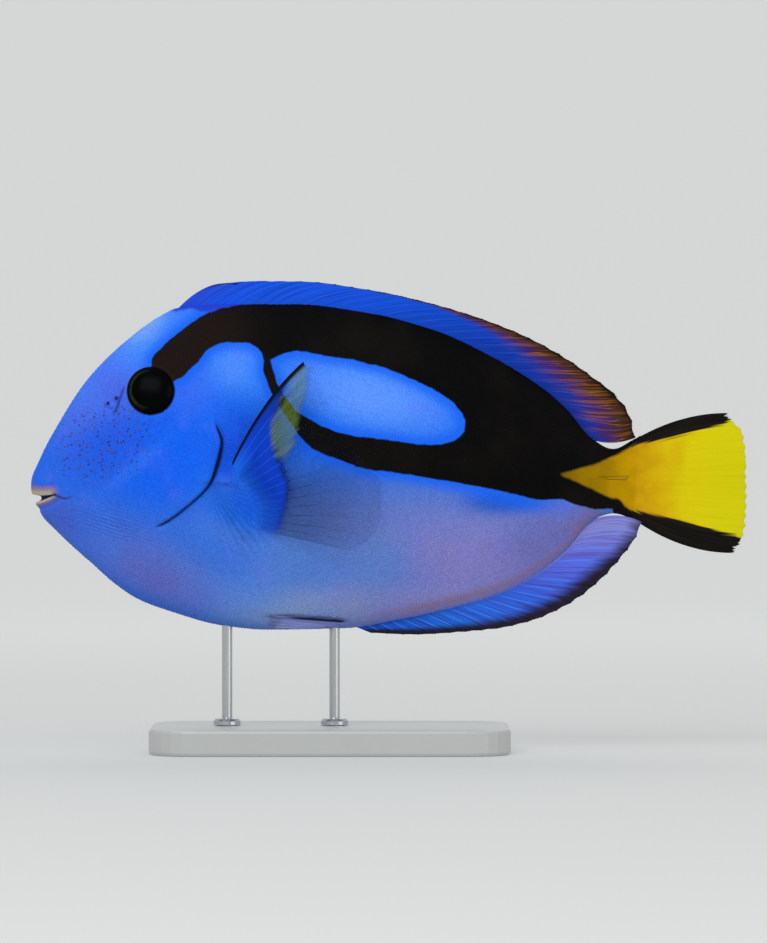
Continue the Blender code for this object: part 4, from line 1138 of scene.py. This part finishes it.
def rayLines(place, rays, spines, steps, radius, reach, lap, forks=(0.38, 0.70)):
    # each soft ray forks twice on its way to the margin: one stem, two branches, four twigs
    spacing = 1 / (rays - 1)
    inner, outer = forks
    points, edges, thick, us, vs = [], [], [], [], []
    limb = [(0.0, inner + lap, (0, 0))]
    limb += [(inner, outer + lap, (sign, 0)) for sign in (-1, 1)]
    limb += [(outer, 1.0, (sign, twig)) for sign in (-1, 1) for twig in (-1, 1)]
    for k in range(rays):
        for first, last, signs in [(0.0, 1.0, (0, 0))] if k < spines else limb:
            count = max(6, round(steps * (last - first)))
            v = np.linspace(first, last, count + 1)
            u = np.full(v.shape, k * spacing)
            size = (radius[0] + (radius[1] - radius[0]) * v**0.8) * (0.7 if k == 0 else 1)
            if k >= spines:
                branch, twig = (sign * spacing for sign in signs)
                u = u + branch * 0.17 * ease(inner, 1.0, v) + twig * 0.10 * ease(outer, 1.0, v)
                size = size * (1 - 0.25 * ease(inner, inner + 0.2, v) - 0.2 * ease(outer, outer + 0.2, v))
            u = np.clip(u, 0, 1)
            v = v * (1 - (1 - reach(u)) * v**3 * 0.35)
            start = len(points)
            points.extend(place(u, v))
            edges.extend((start + i, start + i + 1) for i in range(count))
            thick.extend(size / 1000)
            us.extend(u)
            vs.extend(v)
    mesh = bpy.data.meshes.new("rays")
    mesh.from_pydata(metres(np.array(points)), edges, [])
    store(mesh, "thick", thick)
    store(mesh, "finU", us)
    store(mesh, "finV", vs)
    return mesh


def makeFin(name, node, place, settings, web, ray, reach):
    sheet = webMesh(name, place, settings["rays"], web["perRay"], web["rows"], web["thick"], reach)
    webPiece = addObject(name, sheet, web["material"])
    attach(webPiece, "root")
    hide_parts(node)
    spines, lap = settings.get("spines", 0), ray.get("lap", 0.02)
    lines = rayLines(place, settings["rays"], spines, ray["steps"], ray["radius"], reach, lap)
    mesh = grow(name + "Rays", lines, rodTree, {"Sides": ray["sides"], "Material": ray["material"]})
    storeMarks(mesh)
    facing(mesh)
    rayPiece = addObject(name + "Rays", mesh, ray["material"])
    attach(rayPiece, "root")
    print(name, len(webPiece.data.polygons) * 2, "and", len(mesh.polygons) * 2, "triangles")


def scalloped(rays, depth, ragged=0.0, seed=3, torn=0.0):
    # the share of its length that the web keeps: full at each ray, less between, and torn at the two ends
    nicks = np.random.default_rng(seed).uniform(0, 1, rays * 2 + 2)

    def reach(u):
        q = np.clip(u, 0, 1) * (rays - 1)
        between = np.abs(np.sin(np.pi * q)) ** 0.7
        nick = np.interp(q * 2, np.arange(len(nicks)), nicks)
        ends = ease(0.40, 0.46, np.abs(u - 0.5))
        tear = np.interp(q * 6, np.arange(0, 6 * rays), np.resize((0, 0.2, 1, 0.1, 0.7, 0, 0.9), 6 * rays))
        return 1 - depth * between - ragged * nick * between - torn * ends * tear

    return reach


def finLook(name, describe, rayLook):
    # Wet fin web between bony rays: thin, satin, a little see-through.
    # describe gives its colour and clearness.
    material, tree, shader = newMaterial(name)
    u, v = attribute(tree, "finU"), attribute(tree, "finV")
    colour, alpha = describe(tree, u, v, rayLook)
    tree.links.new(colour, shader.inputs["Base Color"])
    if alpha is not None:
        tree.links.new(alpha, shader.inputs["Alpha"])
    where = objectPlace(tree)
    grain = noise(tree, where, 1800.0, 2.0)
    raiseGrain(tree, shader, grain, 0.35, 0.00008)
    fill(tree, shader, {
        "Roughness": ranged(tree, grain, 0.3, 0.7, 0.42, 0.56), "IOR": 1.38, "Specular IOR Level": 0.10,
    })
    return material


def streaks(tree, u, v, rays, stretch=1.6, seed=0.0):
    # noise drawn out along the rays
    inputs = {"X": times(tree, u, rays * 2.6), "Y": times(tree, v, stretch), "Z": seed}
    lines = addNode(tree, "ShaderNodeCombineXYZ", inputs)
    return noise(tree, lines.outputs[0], 1.0, 3.0)


def dorsalColours(tree, u, v, rayLook):
    line, fine = streaks(tree, u, v, 28), streaks(tree, u, v, 70, 1.0, 4.0)
    lower = ranged(tree, u, 0.30, 1.00, 0.97, 0.28)
    away = maths(tree, "DIVIDE", minus(tree, v, lower), minus(tree, 1.02, lower))
    away = plus(tree, away, ranged(tree, line, 0.25, 0.75, -0.16, 0.16))
    base = ramp(tree, u, (
        (0.0, "#2444C8"), (0.10, "#1050DE"), (0.45, "#0A4ACC"), (0.75, "#08339E"), (1.0, "#0A2480"),
    ))
    if rayLook:
        base = mixed(tree, 0.30, base, linear("#2468F0"))
        outer = ramp(tree, away, ((0.0, "#2440B0"), (0.35, "#6A3C5A"), (0.60, "#A0601A"), (1.0, "#4A2A10")))
    else:
        base = mixed(tree, ranged(tree, fine, 0.45, 0.65, 0.0, 0.45), base, linear("#0A1E78"))
        outer = ramp(tree, away, ((0.0, "#1C2E98"), (0.35, "#38206A"), (0.65, "#40241C"), (1.0, "#1A100A")))
        outer = mixed(tree, ranged(tree, fine, 0.50, 0.62, 0.0, 0.6), outer, linear("#8A5216"))
    colour = mixed(tree, ranged(tree, away, -0.30, 0.35), base, outer)
    edge = ranged(tree, plus(tree, v, ranged(tree, line, 0.3, 0.7, -0.02, 0.02)), 0.90, 0.98)
    first = times(tree, ranged(tree, u, 0.022, 0.004), ranged(tree, v, 0.35, 0.75))
    edge = larger(tree, times(tree, edge, ranged(tree, u, -0.01, 0.03)), first)
    return mixed(tree, edge, colour, linear("#120D0A")), None


def analColours(tree, u, v, rayLook):
    line, fine = streaks(tree, u, v, 21, 1.2, 2.0), streaks(tree, u, v, 56, 1.0, 6.0)
    blue = ramp(tree, u, (
        (0.0, "#1650C8"), (0.35, "#1C66D4"), (0.65, "#305CD2"), (0.85, "#5468DC"), (1.0, "#8486C6"),
    ))
    violet = ramp(tree, u, ((0.0, "#15318E"), (0.5, "#33349E"), (0.85, "#5148A8"), (1.0, "#7468B0")))
    colour = mixed(tree, ranged(tree, fine, 0.46, 0.60, 0.0, 0.75), blue, violet)
    if rayLook:
        colour = mixed(tree, 0.5, colour, linear("#4C96FA"))
    start = plus(tree, ranged(tree, u, 0.0, 0.35, 0.60, 0.76), ranged(tree, u, 0.75, 1.0, 0.0, 0.20))
    edge = minus(tree, plus(tree, v, ranged(tree, line, 0.3, 0.7, -0.05, 0.05)), start)
    dusk = mixed(tree, ranged(tree, fine, 0.4, 0.6), linear("#17151A"), linear("#261A34"))
    colour = mixed(tree, ranged(tree, edge, -0.22, 0.12), colour, dusk)
    foot = ranged(tree, v, 0.13, 0.05)
    pale = ramp(tree, u, ((0.0, "#3C7CEC"), (0.7, "#5E86E8"), (0.92, "#C6C4DC")))
    return mixed(tree, times(tree, foot, 0.8), colour, pale), None


def caudalColours(tree, u, v, rayLook):
    line = streaks(tree, u, v, 16, 1.2, 5.0)
    colour = mixed(tree, ranged(tree, line, 0.45, 0.75, 0.0, 0.22), amberColour(tree), linear("#AA9400"))
    if rayLook:
        colour = mixed(tree, 0.16, colour, linear("#DCD024"))
    wander = plus(tree, attribute(tree, "yellow"), ranged(tree, line, 0.3, 0.7, -0.5, 0.5))
    black = mixed(tree, ranged(tree, line, 0.4, 0.8), linear("#0A0806"), linear("#1C160E"))
    return mixed(tree, ranged(tree, wander, -0.5, 0.5), colour, black), None


def pectoralColours(tree, u, v, rayLook):
    line = streaks(tree, u, v, 15, 1.3, 8.0)
    shift = ranged(tree, line, 0.3, 0.7, -0.4, 0.4)
    foot = ranged(tree, plus(tree, attribute(tree, "finFoot"), shift), 1.6, -1.6)
    patch = ranged(tree, plus(tree, attribute(tree, "finPatch"), shift), 1.6, -1.4)
    deep = ramp(tree, v, (
        (0.0, "#1766DA"), (0.12, "#1462DA"), (0.30, "#053CC4"), (0.6, "#0830A4"), (1.0, "#122C86"),
    ))
    if rayLook:
        deep = mixed(tree, ranged(tree, v, 0.9, 0.1, 0.2, 0.5), deep, linear("#1E68F2"))
    colour = mixed(tree, foot, linear("#0C1840"), deep)
    olive = mixed(tree, ranged(tree, line, 0.35, 0.7), linear("#6A8438"), linear("#5A7230"))
    colour = mixed(tree, patch, colour, olive)
    lead = ranged(tree, u, 0.030, 0.008)
    colour = mixed(tree, lead, colour, linear("#06080E"))
    thin = 0.01
    if not rayLook:
        thin = times(tree, ranged(tree, v, 0.45, 0.95, 0.19, 0.08), ranged(tree, u, 0.34, 0.58, 0.2, 1.0))
    sunk = larger(tree, ranged(tree, v, 0.10, 0.42), ranged(tree, u, 0.35, 0.10))
    foot = times(tree, foot, ranged(tree, u, 1.0, 0.86, 0.4, 1.0))
    alpha = larger(tree, thin, times(tree, foot, sunk))
    alpha = larger(tree, alpha, times(tree, patch, 0.10 if rayLook else 0.32))
    return colour, larger(tree, alpha, lead)


def pelvicColours(tree, u, v, rayLook):
    line = streaks(tree, u, v, 6, 1.2, 11.0)
    colour = mixed(tree, ranged(tree, line, 0.35, 0.7), linear("#868EC8"), linear("#6F77B8"))
    if rayLook:
        colour = mixed(tree, 0.5, colour, linear("#9298CE"))
    # painted shadow in the gap between the fin's upper edge and the belly
    slit = times(tree, ranged(tree, u, 0.09, 0.03), ranged(tree, v, 0.15, 0.5))
    colour = mixed(tree, slit, colour, linear("#12163C"))
    return colour, ranged(tree, v, 0.06, 0.35)


looks = {
    kind: (finLook(kind + "FinWeb", describe, False), finLook(kind + "FinRay", describe, True))
    for kind, describe in (
        ("dorsal", dorsalColours), ("anal", analColours), ("caudal", caudalColours),
        ("pectoral", pectoralColours), ("pelvic", pelvicColours),
    )
}
makeFin(
    "dorsalFin", "dorsal_fin", medianPlace(fins["dorsal"]), fins["dorsal"],
    {"perRay": 10, "rows": 40, "thick": (0.9, 0.20), "material": looks["dorsal"][0]},
    {"steps": 30, "radius": (0.42, 0.14), "sides": 6, "material": looks["dorsal"][1]},
    scalloped(28, 0.016, 0.014, 5),
)
makeFin(
    "analFin", "anal_fin", medianPlace(fins["anal"]), fins["anal"],
    {"perRay": 10, "rows": 40, "thick": (0.9, 0.20), "material": looks["anal"][0]},
    {"steps": 30, "radius": (0.42, 0.14), "sides": 6, "material": looks["anal"][1]},
    scalloped(21, 0.016, 0.014, 6),
)
makeFin(
    "caudalFin", "caudal_fin", caudalPlace, fins["caudal"],
    {"perRay": 14, "rows": 48, "thick": (1.4, 0.20), "material": looks["caudal"][0]},
    {"steps": 34, "radius": (0.46, 0.13), "sides": 6, "material": looks["caudal"][1]},
    scalloped(16, 0.006, 0.014, 9, 0.05),
)
for side, word in ((-1, "left"), (1, "right")):
    makeFin(
        "pectoralFin" + word.title(), "pectoral_fin_" + word, pectoralPlace(side), fins["pectoral"],
        {"perRay": 10, "rows": 40, "thick": (0.7, 0.10), "material": looks["pectoral"][0]},
        {"steps": 30, "radius": (0.40, 0.09), "sides": 6, "lap": -0.004, "material": looks["pectoral"][1]},
        scalloped(15, 0.012, 0.01, 4),
    )
    makeFin(
        "pelvicFin" + word.title(), "pelvic_fin_" + word, pelvicPlace(side), fins["pelvic"],
        {"perRay": 10, "rows": 30, "thick": (0.8, 0.20), "material": looks["pelvic"][0]},
        {"steps": 24, "radius": (0.40, 0.16), "sides": 6, "material": looks["pelvic"][1]},
        scalloped(4, 0.03, 0.02, 8),
    )


def eyeMaterial():
    # A fish's eye: clear wet cornea over a near-black iris, with a thin gold line round the pupil.
    material, tree, shader = newMaterial("wetDarkEye")
    ring = attribute(tree, "ring")
    where = objectPlace(tree)
    fleck = noise(tree, where, 900.0, 3.0)
    iris = ramp(tree, ring, (
        (0.0, "#010102"), (0.76, "#020403"), (0.83, "#35330E"), (0.88, "#14200C"), (0.93, "#070B0C"),
        (1.0, "#05070C"),
    ))
    flecks = ranged(tree, fleck, 0.3, 0.6, 0.5, 1.0)
    ahead = times(tree, ranged(tree, attribute(tree, "ahead"), -0.2, 0.9), flecks)
    colour = mixed(tree, ahead, linear("#020304"), iris)
    fill(tree, shader, {
        "Base Color": colour, "Roughness": 0.26, "IOR": 1.376, "Specular IOR Level": 0.035,
    })
    return material


def makeEye(side, word, material):
    centre = metres(flank(np.array(head["eye"][0]), np.array(head["eye"][1]), side, -head["eyeSink"]))
    up, forward = (side * math.radians(turn) for turn in head["eyeTurn"])
    turned = Euler((up, 0, forward)).to_matrix()
    wide, deep, high = head["eyeRadii"]
    bm = bmesh.new()
    bmesh.ops.create_uvsphere(bm, u_segments=96, v_segments=48, radius=1.0)
    ring, ahead, places = [], [], []
    for vert in bm.verts:
        x, y, z = vert.co.x, side * vert.co.z, vert.co.y
        ring.append(min(math.hypot(x, z) * wide / head["eyeSight"], 1.3) if y * side > 0 else 1.3)
        ahead.append(-x / max(math.hypot(x, z), 1e-6))
        places.append(turned @ Vector((x * wide, y * deep, z * high)) / 1000)
    for vert, place in zip(bm.verts, places):
        vert.co = place + Vector(centre)
    bm.normal_update()
    mesh = closedMesh(bm, "eye")
    store(mesh, "ring", ring)
    store(mesh, "ahead", ahead)
    piece = addObject("eye" + word.title(), mesh, material)
    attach(piece, "root")
    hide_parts("eye_" + word)


darkEye = eyeMaterial()
for side, word in ((-1, "left"), (1, "right")):
    makeEye(side, word, darkEye)
print("eyes made")


def boneMaterial():
    # The folded tail blade: smooth bone under yellowed skin.
    material, tree, shader = newMaterial("smoothBone")
    where = objectPlace(tree)
    grain = noise(tree, where, 900.0, 3.0)
    fill(tree, shader, {
        "Base Color": mixed(tree, grain, linear("#8E6C04"), linear("#A88012")),
        "Roughness": ranged(tree, grain, 0.3, 0.7, 0.32, 0.45), "Specular IOR Level": 0.15,
    })
    return material


def makeSpine(side, word, material):
    # a flat lancet, its root behind, where the real spine hinges, with its point forward
    steps, sides = 24, 10
    s = np.linspace(0, 1, steps + 1)
    x = 83.1 - 3.15 * s
    deep = 0.62 * np.sqrt(np.clip(1 - s, 0, 1)) * (1 - 0.25 * s) + 0.02
    thick = 0.36 * (1 - s) ** 0.7 + 0.02
    centre = flank(x, 1.5 + 0 * x, side, -0.36)
    turn = np.linspace(0, 2 * math.pi, sides, endpoint=False)
    out, up = side * thick[:, None] * np.cos(turn) / mm, deep[:, None] * np.sin(turn) / mm
    rows = centre[:, None, :] + np.stack([0 * out, out, up], -1)
    bm = bmesh.new()
    verts = [[bm.verts.new(place) for place in metres(row)] for row in rows]
    for a, b in zip(verts, verts[1:]):
        for k in range(sides):
            bm.faces.new((a[k], a[(k + 1) % sides], b[(k + 1) % sides], b[k]))
    bm.faces.new(verts[0])
    bm.faces.new(verts[-1])
    piece = addObject("tailSpine" + word.title(), closedMesh(bm, "spine"), material)
    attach(piece, "root")
    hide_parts("tail_spine_" + word)


paleBone = boneMaterial()
for side, word in ((-1, "left"), (1, "right")):
    makeSpine(side, word, paleBone)


def paintMaterial():
    # Sprayed enamel on metal: even satin coat with a faint orange peel about 1.5 mm across.
    material, tree, shader = newMaterial("satinEnamel")
    where = objectPlace(tree)
    peel = noise(tree, where, 650.0, 2.0)
    cloud = noise(tree, where, 30.0, 3.0)
    tree.links.new(mixed(tree, cloud, linear("#A9ABAA"), linear("#B1B3B2")), shader.inputs["Base Color"])
    raiseGrain(tree, shader, peel, 0.25, 0.00005)
    fill(tree, shader, {"Roughness": ranged(tree, cloud, 0.3, 0.7, 0.36, 0.44), "IOR": 1.5})
    return material


def steelMaterial():
    # Drawn stainless rod: fine lines round it, about 0.2 mm apart, that draw its gloss out lengthwise.
    material, tree, shader = newMaterial("brushedSteel")
    where = objectPlace(tree)
    stretch = addNode(tree, "ShaderNodeMapping", {"Vector": where, "Scale": (5000.0, 5000.0, 60.0)})
    lines = noise(tree, stretch.outputs[0], 1.0, 2.0)
    fill(tree, shader, {
        "Base Color": mixed(tree, lines, linear("#A9ABAC"), linear("#C9CBCC")),
        "Roughness": ranged(tree, lines, 0.3, 0.7, 0.24, 0.36),
    })
    raiseGrain(tree, shader, lines, 0.3, 0.00003)
    shader.inputs["Metallic"].default_value = 1.0
    return material


steel = steelMaterial()
dress = {"stand_base": paintMaterial(), "stand_rod_front": steel, "stand_rod_rear": steel}
for node, material in dress.items():
    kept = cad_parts[node]
    kept.data.materials.clear()
    kept.data.materials.append(material)
print("stand dressed")

studio = {
    "paper": "#D3D5D4",
    "radius": 2.6,
    "corner": 0.7,
    "wall": 2.6,
    "nearGlow": 0.515,
    "farGlow": 0.69,
}


def makeCove():
    # a round floor that curves up into a wall on every side
    bm = bmesh.new()
    flat, corner = studio["radius"] - studio["corner"], studio["corner"]
    outline = [(0.0, 0.0), (0.5, 0.0), (1.0, 0.0), (flat, 0.0)]
    for k in range(1, 17):
        turn = math.pi / 2 * k / 16
        outline.append((flat + corner * math.sin(turn), corner * (1 - math.cos(turn))))
    outline.append((studio["radius"], studio["wall"]))
    sides = 96
    rows = []
    turns = [2 * math.pi * k / sides for k in range(sides)]
    for r, z in outline:
        if r:
            rows.append([bm.verts.new((r * math.cos(turn), r * math.sin(turn), z)) for turn in turns])
        else:
            rows.append([bm.verts.new((0, 0, 0))] * sides)
    for a, b in zip(rows, rows[1:]):
        for k in range(sides):
            n = (k + 1) % sides
            corners = [a[k], a[n], b[n], b[k]] if a[k] is not a[n] else [a[k], b[n], b[k]]
            bm.faces.new(corners)
    mesh = closedMesh(bm, "cove", inward=True)
    material, tree, shader = newMaterial("matPaper")  # plain seamless paper, lit evenly
    where = objectPlace(tree)
    fibre = noise(tree, where, 900.0, 2.0)
    fill(tree, shader, {
        "Base Color": mixed(tree, fibre, linear("#8E908F"), linear("#929493")), "Roughness": 0.9,
        "Specular IOR Level": 0.1, "Emission Color": linear(studio["paper"]),
    })
    away = addNode(tree, "ShaderNodeVectorMath", {0: where}, operation="LENGTH").outputs["Value"]
    glow = ranged(tree, away, 0.2, 2.3, studio["nearGlow"], studio["farGlow"])
    tree.links.new(glow, shader.inputs["Emission Strength"])
    material.cycles.emission_sampling = "NONE"
    cove = addObject("cove", mesh, material)


makeCove()


def addLight(name, place, aim, size, power):
    light = bpy.data.lights.new(name, "AREA")
    light.shape = "RECTANGLE"
    light.size, light.size_y = size
    light.energy = power
    lamp = bpy.data.objects.new(name, light)
    lamp.location = place
    lamp.rotation_euler = (Vector(aim) - Vector(place)).to_track_quat("-Z", "Y").to_euler()
    bpy.context.scene.collection.objects.link(lamp)


softboxes = {  # metres and watts
    "keySoftbox": {"place": (-0.55, -1.35, 1.05), "size": (1.3, 0.9), "power": 15},
    "fillSoftbox": {"place": (1.2, -1.1, 0.35), "size": (1.0, 1.0), "power": 6},
    "backSoftbox": {"place": (0.1, 1.3, 1.2), "size": (1.2, 0.8), "power": 6},
}
for name, lamp in softboxes.items():
    addLight(name, lamp["place"], (0, 0, 0.09), lamp["size"], lamp["power"])

world = bpy.data.worlds.new("studioAir")
bpy.context.scene.world = world
world.use_nodes = True
world.node_tree.nodes["Background"].inputs["Color"].default_value = linear("#E4E6E8")
world.node_tree.nodes["Background"].inputs["Strength"].default_value = 0.75

view = {  # metres; height is what the frame takes in
    "distance": 1.8, "height": 0.28975, "x": -0.00169, "z": 0.08604,
}
camera = bpy.data.cameras.new("camera")
camera.sensor_fit = "VERTICAL"
camera.sensor_height = 36
camera.lens = 36 * view["distance"] / view["height"]
camera.clip_end = 20
cameraObject = bpy.data.objects.new("camera", camera)
cameraObject.location = (view["x"], -view["distance"], view["z"])
cameraObject.rotation_euler = (math.pi / 2, 0, 0)
bpy.context.scene.collection.objects.link(cameraObject)
bpy.context.scene.camera = cameraObject
bpy.context.scene.view_settings.view_transform = "Standard"
